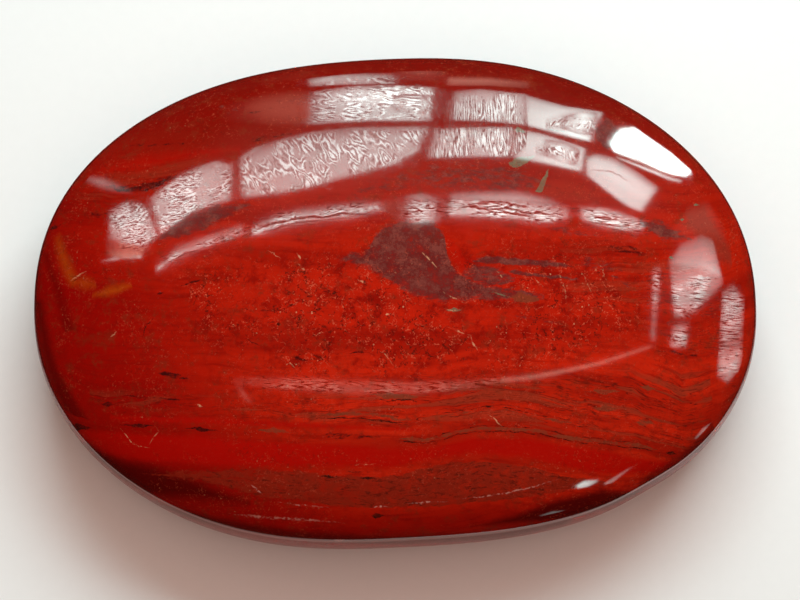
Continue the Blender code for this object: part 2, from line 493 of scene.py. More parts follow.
BLACK = {
    "long_band_top": Streak([(x, y - LONG_BAND_HALF) for x, y in LONG_BAND], 1.8, soft=1.8, strength=0.62),
    "long_band_foot": Streak([(x, y + LONG_BAND_HALF) for x, y in LONG_BAND], 2.2, soft=1.8, strength=0.7),
    "short_band_top": Streak([(x, y - SHORT_BAND_HALF) for x, y in SHORT_BAND], 1.8, soft=1.8, strength=0.62),
    "short_band_foot": Streak([(x, y + SHORT_BAND_HALF) for x, y in SHORT_BAND], 1.8, soft=1.8, strength=0.5),
    "middle_layer_foot": Streak(((300, 418), (330, 418), (362, 418), (389, 422), (433, 423)), 2.4, soft=1.8,
                                strength=0.8),
    "upper_layer_foot": Streak(((366, 398), (390, 401), (412, 400), (424, 404)), 2.2, soft=1.8, strength=0.7),
    "band_end": Streak(((664, 452), (671, 453), (679, 454)), 5, soft=2.5),
    "lens_spot_left": Streak(((318, 476), (328, 476), (338, 477)), 5, soft=3, strength=0.9),
    "lens_spot_right": Streak(((356, 478), (368, 478), (380, 479)), 5, soft=3, strength=0.9),
    "lens_edge": Streak(((336, 471), (352, 472), (384, 472)), 2, strength=0.8),
    "lone_spot": Streak(((368, 515), (376, 516), (387, 515)), 7, soft=4, strength=0.9),
    "left_crack": Streak(((160, 312), (150, 321), (144, 330), (141, 343)), 2, steep=True, strength=0.8),
    "gold_shadow": Streak(((68, 284), (78, 279), (88, 273)), 2.4, soft=1.8, strength=0.7),
    "corner_line": Streak(((528, 128), (552, 130), (570, 134), (600, 145)), 3, soft=2, strength=0.6),
    "dot_1": Streak(((276, 324), (279, 324), (282, 324)), 4, soft=2),
    "dot_2": Streak(((315, 309), (319, 309), (324, 308)), 4, soft=2),
    "dot_3": Streak(((331, 293), (334, 293), (338, 293)), 4, soft=2),
    "dot_4": Streak(((235, 324), (238, 326), (241, 325)), 4, soft=2, strength=0.7),
}
GOLD = {
    "left_arc": Patch(
        ((60, 232), (66, 248), (74, 266), (82, 284)), ((54, 238), (56, 256), (62, 274), (70, 288)),
        soft=20, strength=0.4, steep=True, ragged=False,
    ),
    "left_patch": Patch(
        ((92, 294), (106, 286), (120, 283), (132, 282)), ((92, 298), (106, 298), (120, 294), (132, 288)),
        soft=12, strength=0.5,
    ),
    "left_glow": Patch(
        ((72, 280), (84, 274), (96, 280)), ((72, 286), (84, 292), (96, 290)), soft=14, strength=0.3,
    ),
}
GREY = {
    "fleck_1": Streak(((510, 130), (518, 130), (528, 132)), 8, soft=4, strength=0.9),
    "fleck_2": Patch(
        ((510, 160), (520, 156), (534, 155)), ((510, 167), (518, 169), (534, 159)), soft=4, strength=0.8,
    ),
    "sliver": Patch(
        ((547, 169), (541, 180), (535, 192)), ((549, 170), (547, 182), (543, 192)), soft=2.5, steep=True,
        strength=0.9,
    ),
    "dot_1": Streak(((667, 258), (671, 258), (675, 258)), 4, soft=2),
    "dot_2": Streak(((692, 205), (696, 205), (700, 205)), 4, soft=2),
    "dot_3": Streak(((678, 219), (682, 219), (686, 219)), 4, soft=2),
    "vein": Streak(((484, 290), (500, 294), (513, 299)), 2.8, soft=2),
    "patch_1": Streak(((444, 311), (454, 310), (466, 311)), 6, soft=3, strength=0.9),
}
VEINS = {
    "heart_vein": Streak(((419, 250), (426, 256), (432, 262), (440, 271)), 2.6, soft=2, strength=0.8,
                         ragged=False),
    "beige_1": Streak(((447, 327), (458, 331), (470, 336)), 2, strength=0.9),
    "beige_2": Streak(((470, 335), (473, 344), (479, 352)), 2, steep=True, strength=0.9),
    "beige_3": Streak(((442, 291), (452, 297), (466, 303)), 2, strength=0.8),
    "beige_4": Streak(((268, 251), (274, 254), (281, 259)), 2, strength=0.8),
    "beige_5": Streak(((297, 252), (299, 257), (301, 262)), 2.4, steep=True, strength=0.8),
    "beige_6": Streak(((296, 263), (303, 268), (311, 272)), 2, strength=0.7),
    "beige_7": Streak(((357, 279), (362, 282), (370, 283)), 3.4, soft=2, strength=0.8),
    "beige_8": Streak(((444, 309), (455, 311), (464, 308)), 2.4, soft=1.8, strength=0.9),
    "beige_9": Streak(((534, 278), (539, 283), (544, 287)), 2.6, soft=1.8, strength=0.8),
    "white_spot": Streak(((384, 314), (387, 314), (391, 313)), 3, soft=2),
    "loop_white": Streak(((314, 337), (319, 334), (327, 331)), 2.2, strength=0.8),
    "dotted_1": Streak(((556, 260), (560, 275), (564, 290), (568, 305)), 1.8, steep=True, strength=0.56),
    "dotted_3": Streak(((582, 272), (587, 284), (594, 298)), 1.6, soft=1.4, steep=True, strength=0.6),
    "dotted_4": Streak(((594, 256), (602, 269), (608, 284)), 1.6, soft=1.4, steep=True, strength=0.6),
    "dotted_5": Streak(((496, 270), (501, 276), (507, 283)), 2, steep=True, strength=0.7),
    "dotted_6": Streak(((486, 414), (496, 421), (504, 427)), 2.2, strength=0.8),
    "slant_1": Streak(((284, 357), (291, 364), (298, 371)), 2, steep=True, strength=0.6),
    "slant_2": Streak(((379, 349), (386, 356), (394, 366)), 2, strength=0.6),
    "left_chain": Streak(((119, 329), (114, 334), (108, 340)), 2, strength=0.7, steep=True),
    "loop_left": Streak(((120, 428), (126, 435), (131, 442), (138, 446), (150, 448)), 2,
                        strength=0.75, ragged=False),
    "loop_right": Streak(((149, 445), (153, 438), (159, 431), (154, 425)), 1.8, strength=0.6,
                         steep=True, ragged=False),
    "gold_edge": Streak(((69, 282), (78, 276), (88, 270)), 2.6, soft=2, strength=0.7),
    "left_speck": Streak(((195, 405), (199, 406), (203, 406)), 2.6, soft=1.8, strength=0.8),
    "lens_specks": Streak(((353, 465), (364, 465), (376, 464)), 2, strength=0.6),
}
# Cracks that show black in the mirrored sills.
CRACKS = {
    "right_1": Streak(((449, 212), (470, 206), (490, 210), (507, 207), (526, 213), (543, 213),
                       (560, 217)), 2.8),
    "right_2": Streak(((462, 215), (488, 213), (509, 212), (526, 216), (548, 220)), 2.6),
    "right_3": Streak(((462, 207), (480, 203), (502, 202), (521, 206), (534, 209)), 2.4, strength=0.85),
    "far_right_1": Streak(((584, 216), (603, 217), (616, 219), (625, 224)), 2.2),
    "far_right_2": Streak(((583, 220), (598, 223), (622, 227), (639, 231)), 2),
    "middle_1": Streak(((252, 231), (266, 226), (286, 221), (307, 217), (326, 217), (346, 213), (365, 215),
                        (378, 209)), 2.8),
    "middle_2": Streak(((256, 235), (276, 229), (300, 222), (330, 220), (352, 217)), 2.4, strength=0.85),
    "left_1": Streak(((160, 268), (176, 258), (190, 252), (210, 247)), 2.4, strength=0.9),
    "end_pane": Streak(((587, 171), (600, 170), (612, 172), (622, 177), (634, 187)), 2, strength=0.6),
    "corner": Streak(((622, 160), (638, 160), (650, 167), (664, 176), (676, 182)), 2, strength=0.8),
    "joint_1": Streak(((409, 214), (416, 212), (424, 211)), 3, soft=2),
    "joint_2": Streak(((413, 219), (418, 220), (424, 218)), 3, soft=2, strength=0.8),
}
# Fine scratches along the near rim, where the polish is broken, painted pale as the glints that they catch:
# partly scratches, partly painted highlights.
SCRATCHES_AND_GLINTS = {
    "arc_right": Streak(((455, 499), (490, 496), (525, 489), (562, 478)), 2, strength=0.7),
    "line_left": Streak(((274, 501), (300, 505), (332, 508)), 2, strength=0.7),
    "line_middle": Streak(((370, 508), (378, 507), (388, 506)), 2.6, soft=1.8),
    "line_right": Streak(((406, 504), (426, 502.5), (448, 501)), 2.4, soft=1.8, strength=0.9),
    "low_left": Streak(((226, 513), (260, 517), (302, 519), (346, 523)), 3, soft=2.4, strength=0.55),
    "curl": Streak(((249, 483), (256, 489), (264, 496)), 3, soft=2.2, strength=0.8),
    "rim_grey": Streak(((326, 539.5), (340, 540.5), (356, 540.5)), 2.6, soft=2, strength=0.6),
}
# A row of short strokes, each a step further along the rim: painted glints on fine scratches as well.
HATCH_STROKE = ((104, 466), (109, 470), (113, 475))
HATCH_STEP = (8, 5)
HATCH_COUNT = 8
for n in range(HATCH_COUNT):
    stroke = tuple((x + HATCH_STEP[0] * n, y + HATCH_STEP[1] * n) for x, y in HATCH_STROKE)
    SCRATCHES_AND_GLINTS["hatch_%d" % n] = Streak(stroke, 2, strength=0.6)
MARK_KINDS = {"clean": CLEAN, "glow": PALE_RED_AND_HAZE, "shade": SHADE, "gold": GOLD, "lens": LENS, "maroon": MAROON,
              "dark": DARK, "brown": BROWN, "black": BLACK, "crack": CRACKS, "grey": GREY, "vein": VEINS,
              "scratch_glint": SCRATCHES_AND_GLINTS}
# The kinds in the order in which they are painted, from the even ones that nothing breaks up. The veins come
# after the specks, and the cracks with the polish.
EVEN_KINDS = ("clean", "glow", "shade", "gold")
PAINTED_KINDS = (*EVEN_KINDS, "lens", "maroon", "dark", "brown", "black", "grey", "scratch_glint")
# The kinds that are broken up into dots, and the fade that does it.
DOTTED_KINDS = {"crack": "crack_dots", "vein": "vein_dots", "scratch_glint": "vein_dots"}

# The zones where the red is laid in fine brown layers, by the same pixels.
LAYERED_ZONES = {
    "near_right": Patch(
        ((240, 396), (330, 388), (420, 388), (500, 374), (600, 366), (710, 366)),
        ((240, 424), (330, 428), (420, 434), (480, 424), (560, 434), (640, 446), (700, 452)),
        soft=26, ragged=False,
    ),
    "near_left": Patch(
        ((90, 388), (160, 390), (250, 396)), ((90, 410), (160, 412), (250, 414)),
        soft=16, strength=0.8, ragged=False,
    ),
    "far_left": Patch(
        ((60, 196), (120, 160), (200, 150)), ((60, 224), (120, 206), (200, 176)),
        soft=24, strength=0.5, ragged=False,
    ),
    "far_right": Patch(
        ((560, 240), (620, 236), (720, 262)), ((560, 300), (620, 320), (720, 350)),
        soft=30, strength=0.55, ragged=False,
    ),
}
# The line that the layers of the near side follow.
LAYER_LINE = (
    (110, 438), (200, 438), (330, 437), (400, 438.6), (435, 437), (460, 432), (482, 427), (527, 430),
    (580, 440), (636, 446), (690, 456),
)

# Where the pale and dark specks are densest.
SPECKLED_ZONE = Patch(
    ((190, 262), (300, 240), (420, 228), (560, 236), (640, 270)),
    ((190, 352), (300, 384), (420, 394), (560, 372), (640, 336)),
    soft=45, ragged=False,
)

# Where the polish is rippled, by the same pixels: the zone's two edges and its softness, how far the ripples
# slant from the banding, clockwise in degrees, how often they bend in a millimetre, how slowly they do so
# lengthwise, as a share of that, and how deeply they are cracked, which also paints shade in their troughs.
RIPPLES = {
    "long": Ripples(
        ((300, 90), (340, 72), (400, 72), (444, 74)), ((300, 128), (340, 125), (400, 124), (444, 124)),
        6, 4, 1.3, 0.18, 0.5,
    ),
    "network": Ripples(
        ((236, 160), (270, 140), (310, 130), (360, 126), (434, 126)),
        ((236, 206), (270, 202), (330, 190), (380, 172), (434, 140)),
        6, 48, 0.85, 0.4, 0.4,
    ),
    "upright": Ripples(
        ((424, 84), (460, 84), (514, 88), (526, 92)), ((424, 166), (460, 164), (514, 162), (526, 150)),
        8, 80, 1.5, 0.14, 0.6,
    ),
    "rising": Ripples(
        ((108, 200), (140, 186), (170, 168), (210, 160), (238, 166)),
        ((108, 252), (140, 256), (170, 246), (210, 224), (238, 214)),
        8, -14, 1.7, 0.2, 0.6,
    ),
    "glassy": Ripples(
        ((546, 118), (570, 110), (600, 116)), ((546, 132), (570, 132), (592, 140)),
        8, -46, 1.4, 0.25, 0.6,
    ),
    "glassy_low": Ripples(
        ((536, 144), (560, 140), (580, 148)), ((536, 156), (560, 162), (578, 168)),
        8, 50, 1.4, 0.25, 0.6,
    ),
    "level": Ripples(
        ((400, 196), (450, 196), (520, 198), (580, 204), (650, 214)),
        ((400, 222), (450, 222), (520, 224), (580, 230), (650, 238)),
        5, 3, 2.0, 0.12, 0.9,
    ),
    "sill": Ripples(
        ((160, 250), (200, 240), (246, 222), (275, 210), (304, 203), (363, 197), (390, 196)),
        ((160, 272), (200, 256), (246, 240), (275, 230), (304, 224), (363, 216), (390, 210)),
        5, -14, 2.1, 0.16, 0.9,
    ),
    "side": Ripples(
        ((648, 264), (672, 262), (704, 266), (746, 286)), ((648, 330), (672, 345), (704, 370), (746, 388)),
        8, 18, 1.7, 0.1, 0.8,
    ),
    "foot": Ripples(
        ((244, 372), (320, 372), (400, 372), (470, 370), (500, 370)),
        ((244, 392), (320, 396), (400, 398), (470, 394), (500, 388)),
        6, 4, 1.4, 0.14, 0.8,
    ),
}

# The panes that the polish mirrors, by the pixels where they are seen in it. The numbers after the edges
# are the glow from the upper to the lower edge, the glow from the left to the right end, the strength of
# both, and for some how far off the pane is, in metres. A warm pane has the tint of the faint ones.
PANES = {
    "veil": Pane(
        ((150, 170), (240, 106), (340, 74), (440, 66), (540, 78), (650, 124), (728, 212)),
        ((150, 290), (240, 262), (340, 244), (440, 236), (540, 240), (650, 254), (728, 272)),
        (0, 0.7, 1, 1, 1, 0.5, 0), (0, 0.7, 1, 1, 1, 0.7, 0), 0.026, 0.53, warm=True,
    ),
    "top_dim_left": Pane(
        ((306, 78), (340, 73), (394, 73)), ((310, 87), (340, 85), (396, 84)),
        (0.2, 1, 0.8), (0.3, 1, 1, 0.5), 0.75,
    ),
    "top_dim_right": Pane(
        ((445, 75), (490, 76), (530, 80)), ((447, 86), (490, 86), (530, 89)),
        (0, 1, 0.6), (1, 0.8, 0.3), 0.26, warm=True,
    ),
    "top_middle": Pane(
        ((394, 66), (420, 64), (448, 66)), ((394, 81), (420, 81), (448, 83)),
        (0.2, 1, 0.5), (0.3, 1, 0.3), 0.1, warm=True,
    ),
    "upper_left": Pane(
        ((308, 92), (350, 86), (390, 85), (433, 87)), ((304, 126), (332, 123), (380, 121), (430, 121)),
        (0.6, 1.3, 1, 0.85), (0.1, 0.6, 0.9, 1, 1.1, 1.2, 1.2), 1.5,
    ),
    "upper_left_spot": Pane(
        ((394, 96), (408, 93), (428, 95)), ((394, 110), (408, 115), (428, 113)),
        (0.3, 1, 0.6), (0.2, 1, 0.8), 2.2, 0.48,
    ),
    "upper_left_dim": Pane(
        ((222, 102), (264, 94), (311, 88)), ((216, 122), (262, 126), (304, 127)),
        (0.2, 1, 1, 0.3), (0, 0.5, 1, 1.1), 0.07, warm=True,
    ),
    "upper_right": Pane(
        ((454, 91), (480, 89), (526, 94)), ((451, 121), (480, 121), (526, 125)),
        (0.6, 1, 1, 0.9), (0.7, 1, 1), 1.3,
    ),
    "upper_glassy": Pane(
        ((526, 95), (565, 106), (603, 112)), ((524, 125), (558, 134), (590, 142)),
        (0.5, 0.9, 1), (0.7, 0.8, 1.0, 1.25, 1.1), 1.5,
    ),
    "upper_spot": Pane(
        ((562, 118), (580, 111), (598, 113)), ((560, 128), (578, 134), (592, 135)),
        (0.45, 1, 0.45), (0.3, 0.8, 1.1, 0.4), 2.6, 0.48,
    ),
    "corner_bright": Pane(
        ((610, 143), (615, 134), (622, 128), (635, 127), (652, 139), (672, 153), (691, 170)),
        ((610, 144), (614, 152), (640, 162), (660, 171), (674, 175), (686, 177), (691, 173)),
        (0.8, 1, 1, 1), (1, 1), 3.4,
    ),
    "corner_fringe": Pane(
        ((616, 156), (640, 165), (672, 177), (684, 180)), ((618, 159), (640, 168), (668, 180), (680, 183)),
        (0.3, 1, 0.3), (0.5, 1, 1, 0.4), 1.5, 0.48,
    ),
    "row_left_end": Pane(
        ((109, 210), (124, 202), (142, 203), (149, 212)), ((108, 239), (128, 244), (145, 247), (157, 236)),
        (0.5, 0.9, 1, 1, 1), (0.5, 1, 1, 1), 1.1,
    ),
    "row_left_foot": Pane(
        ((106, 232), (120, 239), (147, 247)), ((106, 256), (126, 259), (142, 256)),
        (0.8, 0.9, 1), (0.1, 0.8, 1), 0.6, warm=True,
    ),
    "row_left_line": Pane(
        ((100, 260), (120, 256), (142, 255)), ((100, 263), (120, 259), (142, 258)),
        (0.4, 1, 0.4), (0, 1, 1), 0.9,
    ),
    "row_left": Pane(
        ((150, 197), (180, 175), (202, 165), (216, 161), (232, 165)),
        ((160, 236), (172, 227), (192, 213), (216, 204), (231, 201)),
        (0.6, 1, 1, 1), (1, 1.1, 1.1, 0.8), 1.1,
    ),
    "row_middle": Pane(
        ((240, 157), (256, 147), (284, 138), (315, 131), (358, 127), (430, 126)),
        ((242, 199), (288, 192), (320, 185), (358, 174), (392, 165), (416, 151)),
        (0.35, 0.9, 1, 1, 1.1), (0.85, 0.95, 1.05, 1.1), 1.15,
    ),
    "row_right": Pane(
        ((434, 129), (480, 127), (511, 127)), ((430, 158), (470, 157), (510, 157)),
        (1, 1, 1), (0.8, 0.9, 1.1), 1.4,
    ),
    "row_glassy": Pane(
        ((511, 128), (541, 133), (586, 148)), ((512, 158), (541, 163), (581, 172)),
        (0.8, 1, 0.9), (0.8, 0.9, 1.2, 1.1), 1.22,
    ),
    "row_spot": Pane(
        ((545, 139), (564, 142), (580, 150)), ((543, 155), (560, 162), (575, 166)),
        (0.45, 1, 0.5), (0.4, 0.8, 1.1, 0.4), 2.3, 0.48,
    ),
    "row_right_end": Pane(
        ((586, 157), (596, 153), (613, 157), (637, 171), (659, 187)),
        ((586, 175), (601, 187), (618, 200), (630, 208), (642, 212)),
        (0.35, 0.95, 1.05, 0.9, 1), (0.9, 1, 0.9), 1.12,
    ),
    "sill_left": Pane(
        ((155, 268), (175, 248), (204, 236), (228, 228), (243, 222)),
        ((158, 271), (178, 258), (204, 248), (228, 240), (243, 234)),
        (0.1, 0.4, 1.0, 0.9), (1.2, 1.2, 0.8, 0.7), 0.9,
    ),
    "sill_middle": Pane(
        ((250, 226), (275, 212), (304, 206), (363, 200), (384, 200)),
        ((252, 236), (275, 227), (304, 221), (363, 214), (380, 209)),
        (0, 0.2, 0.9, 1.2), (1, 1, 1, 0.9), 1.5,
    ),
    "sill_joint": Pane(
        ((404, 195), (420, 193), (438, 197)), ((406, 221), (420, 223), (438, 221)),
        (0.2, 0.8, 1), (0.4, 1, 0.6), 1.5,
    ),
    "sill_right": Pane(
        ((450, 191), (490, 189), (520, 189), (548, 196), (572, 206)),
        ((448, 216), (490, 217), (520, 219), (548, 222), (568, 218)),
        (0, 0.2, 0.45, 0.8, 1.2, 1.1), (0.85, 0.95, 1, 0.6), 1.55,
    ),
    "sill_far_right": Pane(
        ((580, 207), (600, 208), (625, 213), (646, 221)), ((582, 220), (600, 225), (625, 230), (643, 231)),
        (0.5, 0.9, 1, 1.1), (1, 1, 0.5), 1.5,
    ),
    "side_bar": Pane(
        ((653, 268), (661, 266)), ((650, 340), (656, 342)),
        (0.4, 1.2, 1, 0.6, 0.5, 0.3), (0.5, 1, 0.4), 0.8,
    ),
    "side_pane": Pane(
        ((669, 260), (681, 243), (702, 234), (713, 239), (717, 255)),
        ((674, 318), (684, 317), (697, 310), (710, 297), (724, 284)),
        (0.2, 0.45, 0.7, 1.3, 1.1, 0.8), (1, 1, 0.8, 0.4), 0.85,
    ),
    "side_pane_lower": Pane(
        ((722, 291), (734, 285), (745, 297)), ((717, 376), (728, 383), (742, 368)),
        (0.4, 0.9, 0.8, 0.5, 0.5, 1.2, 0.5), (1, 1, 0.8, 0.3), 0.78,
    ),
    "side_haze": Pane(
        ((664, 232), (690, 202), (708, 198), (726, 226)), ((668, 250), (694, 240), (712, 240), (730, 252)),
        (0, 1, 1, 0), (0, 1, 1, 0), 0.06, warm=True,
    ),
    "side_small": Pane(
        ((672, 325), (690, 322)), ((670, 347), (687, 348)),
        (0.4, 0.8, 1, 0.5), (0.6, 1, 0.3), 0.95,
    ),
    "foot_left": Pane(
        ((236, 377), (300, 377), (360, 380), (420, 381), (480, 379)),
        ((238, 385), (300, 391), (360, 394), (420, 394), (480, 388)),
        (0.1, 0.8, 0.5, 1, 0.1), (0.2, 1, 1, 1, 0.7), 0.34, warm=True,
    ),
    "foot_curl": Pane(
        ((232, 378), (238, 392), (246, 402)), ((236, 377), (243, 390), (254, 404)),
        (0.3, 1, 0.3), (0.3, 0.6, 1.2, 0.6), 0.16, warm=True,
    ),
    "foot_right": Pane(
        ((480, 379), (540, 373), (600, 361), (652, 343)), ((480, 386), (540, 379), (600, 366), (655, 347)),
        (0.3, 1, 0.3), (0.7, 1, 1, 0.6), 0.34, warm=True,
    ),
    "far_left_gleam": Pane(
        ((84, 173), (104, 176), (132, 188)), ((84, 183), (106, 191), (134, 196)),
        (0.1, 1, 0.1), (0.1, 1, 0.8, 0.1), 0.22,
    ),
    "rim_glint": Pane(
        ((576, 485), (584, 480), (598, 479)), ((577, 489), (588, 487), (598, 482)),
        (0.6, 1, 0.6), (1, 1, 0.3), 1.0,
    ),
    "rim_fork": Pane(
        ((604, 483), (612, 478), (630, 467)), ((606, 485), (614, 482), (631, 468)),
        (0.6, 1, 0.6), (1, 0.7, 0.4), 0.3,
    ),
    "rim_glint_low": Pane(
        ((540, 515), (552, 511), (566, 510)), ((541, 517), (553, 514), (566, 512)),
        (0.6, 1, 0.6), (0.5, 1, 0.5), 0.16, 0.1,
    ),
    "rim_glint_right": Pane(
        ((694, 438), (702, 428), (712, 422)), ((697, 440), (706, 432), (714, 423)),
        (0.6, 1, 0.6), (0.5, 1, 0.5), 0.2, 0.1,
    ),
}


def srgb(red, green, blue):
    """A colour as it reads on a screen, 0 to 255, as the linear values that Blender works in."""
    values = []
    for value in (red, green, blue):
        share = value / 255
        values.append(share / 12.92 if share <= 0.04045 else ((share + 0.055) / 1.055) ** 2.4)
    return tuple(values)


def colour_property(name, description, default):
    """A colour that the panel shows as a swatch."""
    return bpy.props.FloatVectorProperty(
        name=name, description=description, default=default, subtype="COLOR", size=3, min=0.0, max=1.0
    )


def length_property(name, description, default):
    """A length in metres."""
    return bpy.props.FloatProperty(name=name, description=description, default=default, unit="LENGTH",
                                   precision=4)


class StoneSettings(bpy.types.PropertyGroup):
    """Size of the stone, its colours and its polish."""

    length: length_property("Length", "Length of the stone", STONE_HIGH.x - STONE_LOW.x)
    width: length_property("Width", "Width of the stone", STONE_HIGH.y - STONE_LOW.y)
    thickness: length_property("Thickness", "Height of the stone where it lies", STONE_HIGH.z - STONE_LOW.z)
    red: colour_property("Red", "Main colour of the jasper", srgb(178, 27, 8))
    near_red: colour_property("Near red", "Colour of the jasper towards the near side", srgb(204, 38, 13))
    # Painted shade: the red darkened towards the far rim.
    shaded_far_red: colour_property("Upper red", "Colour of the jasper towards the far side", srgb(114, 15, 7))
    bright_red: colour_property("Bright red", "Brightest clouds in the red", srgb(200, 30, 6))
    deep_red: colour_property("Deep red", "Darker clouds and laminae in the red", srgb(128, 10, 4))
    # Painted shade: a darker, purer red towards the near left end and the near rim, where less light falls.
    shaded_blood_red: colour_property("Blood red", "Pure dark red towards the near left end", srgb(141, 3, 1))
    pale_red: colour_property("Pale red", "Fine squiggles in the red", srgb(206, 84, 58))
    rust: colour_property("Rust", "Brownish blotches in the red", srgb(122, 36, 18))
    maroon: colour_property("Maroon", "The dark patch in the middle and the bands like it", srgb(76, 33, 32))
    pale_maroon: colour_property("Pale maroon", "Paler clouds in the maroon", srgb(122, 54, 46))
    hairline: colour_property("Hairlines", "Dark lines at the edges of the layers", srgb(86, 18, 10))
    clean: colour_property("Clean bands", "Bright even red of the bands without marks", srgb(172, 9, 2))
    # Partly paler red, partly painted reflection of the faint haze beside the panes.
    glow: colour_property("Glow", "Paler red in the far half", srgb(140, 40, 27))
    dark: colour_property("Dark bands", "Dark streaks", srgb(66, 12, 10))
    # Painted shade along the rims.
    shade: colour_property("Shade", "Soft dark red shades towards the rim", srgb(74, 3, 2))
    brown: colour_property("Brown", "Brown layers", srgb(128, 50, 30))
    lens: colour_property("Lens", "The long brown lens on the near side", srgb(138, 33, 17))
    black: colour_property("Black", "Hairlines and dark specks", srgb(60, 17, 10))
    gold: colour_property("Gold", "Orange patches at the left end", srgb(184, 84, 14))
    grey: colour_property("Grey", "Grey-green flecks", srgb(108, 92, 70))
    vein: colour_property("Veins", "Pale healed cracks and specks", srgb(214, 150, 112))
    # Painted highlights: the pale glints that fine scratches along the near rim catch.
    scratch_glint: colour_property("Scuffs", "Fine pale scuffs along the near rim", srgb(214, 150, 136))
    roughness: bpy.props.FloatProperty(
        name="Roughness", description="Roughness of the polish", default=0.05, min=0.0, max=1.0,
        subtype="FACTOR"
    )
    relief: bpy.props.FloatProperty(
        name="Relief", description="Strength of the fine relief left in the polish", default=1.0, min=0.0,
        max=3.0, subtype="FACTOR"
    )


class StageSettings(bpy.types.PropertyGroup):
    """The floor, the light and the camera."""

    floor: colour_property("Floor", "Colour of the floor", srgb(238, 238, 237))
    window: bpy.props.FloatProperty(
        name="Window light", description="Power of the soft light from behind", default=1.24, min=0.0,
        subtype="POWER", unit="POWER"
    )
    window_tint: colour_property("Window tint", "Colour of the light from behind", (0.78, 0.984, 1.0))
    fill: bpy.props.FloatProperty(
        name="Fill light", description="Power of the soft light from above", default=0.95, min=0.0,
        subtype="POWER", unit="POWER"
    )
    fill_tint: colour_property("Fill tint", "Colour of the light from above", (1.0, 0.68, 0.57))
    glow: bpy.props.FloatProperty(
        name="Pane glow", description="Brightness of the panes that the stone mirrors", default=10.3, min=0.0
    )
    glow_tint: colour_property("Glow tint", "Colour of the panes that the stone mirrors", (0.77, 1.0, 0.96))
    warm_tint: colour_property("Warm tint", "Colour of the faint panes by the walls", (1.0, 0.62, 0.48))
    room: bpy.props.FloatProperty(
        name="Room", description="Brightness of the dim room round the stage", default=0.006, min=0.0
    )
    pale_size: bpy.props.FloatVectorProperty(
        name="Pale area", description="Length and width of the floor that the stone mirrors as pale",
        default=(0.073, 0.058), size=2, unit="LENGTH"
    )
    pale_middle: bpy.props.FloatVectorProperty(
        name="Middle of the pale area", description="Middle of the floor that the stone mirrors as pale",
        default=(0.0, -0.0045), size=2, unit="LENGTH"
    )
    lens: bpy.props.FloatProperty(
        name="Lens", description="Focal length of the camera", default=124.93, min=1.0,
        subtype="DISTANCE_CAMERA"
    )
    distance: length_property("Distance", "Distance from the camera to the point it aims at", 0.26)
    elevation: bpy.props.FloatProperty(
        name="Elevation", description="Angle of the camera above the floor", default=math.radians(80),
        subtype="ANGLE"
    )
    aim: bpy.props.FloatVectorProperty(
        name="Aim", description="Point that the camera looks at", default=(0.000456, -0.000132, 0.009),
        subtype="TRANSLATION", unit="LENGTH", precision=5
    )


def outline_radius(angle):
    """Distance from the middle of the stone to its widest line, in units of half its width."""
    along = abs(math.cos(angle)) / OUTLINE_STRETCH
    across = abs(math.sin(angle))
    oval = (along**OUTLINE_POWER + across**OUTLINE_POWER) ** (-1 / OUTLINE_POWER)
    wave = sum(c * math.cos(k * angle) + s * math.sin(k * angle) for k, c, s in OUTLINE_WAVES)
    return oval * (1 + wave)


def flat_spot(angle, share):
    """Share of the radius that the flat spot takes off, most at the rim and nothing in the middle."""
    away = (angle - FLAT_SPOT_ANGLE) / FLAT_SPOT_SPREAD
    return FLAT_SPOT_DEPTH * share**2 * math.exp(-(away**2))


def dome_point(turn, thickness):
    """A point of the top's section, as (share of the radius, height), a given turn from its crown."""
    share = (1 - EDGE_INSET) * math.sin(turn) / math.sin(DOME_END)
    fall = (1 - math.cos(turn)) / (1 - math.cos(DOME_END))
    return share, thickness - (thickness - EDGE_HEIGHT) * fall


def side_point(height):
    """A point of the side's section, which leans in more and more up to the edge."""
    up = (height - WIDEST_HEIGHT) / (EDGE_HEIGHT - WIDEST_HEIGHT)
    return 1 - EDGE_INSET * up**2, height


def underside_point(turn):
    """A point of the underside's section, a given turn from the flat base."""
    out = math.sin(turn) ** (2 / UNDERSIDE_POWER)
    up = 1 - math.cos(turn) ** (2 / UNDERSIDE_POWER)
    return BASE_SHARE + (1 - BASE_SHARE) * out, WIDEST_HEIGHT * up


def crossing(first, first_next, second, second_next):
    """Where the line through two points meets the line through two others."""
    ax, ay = first_next[0] - first[0], first_next[1] - first[1]
    bx, by = second_next[0] - second[0], second_next[1] - second[1]
    gap_x, gap_y = second[0] - first[0], second[1] - first[1]
    along = (gap_x * by - gap_y * bx) / (ax * by - ay * bx)
    return first[0] + along * ax, first[1] + along * ay


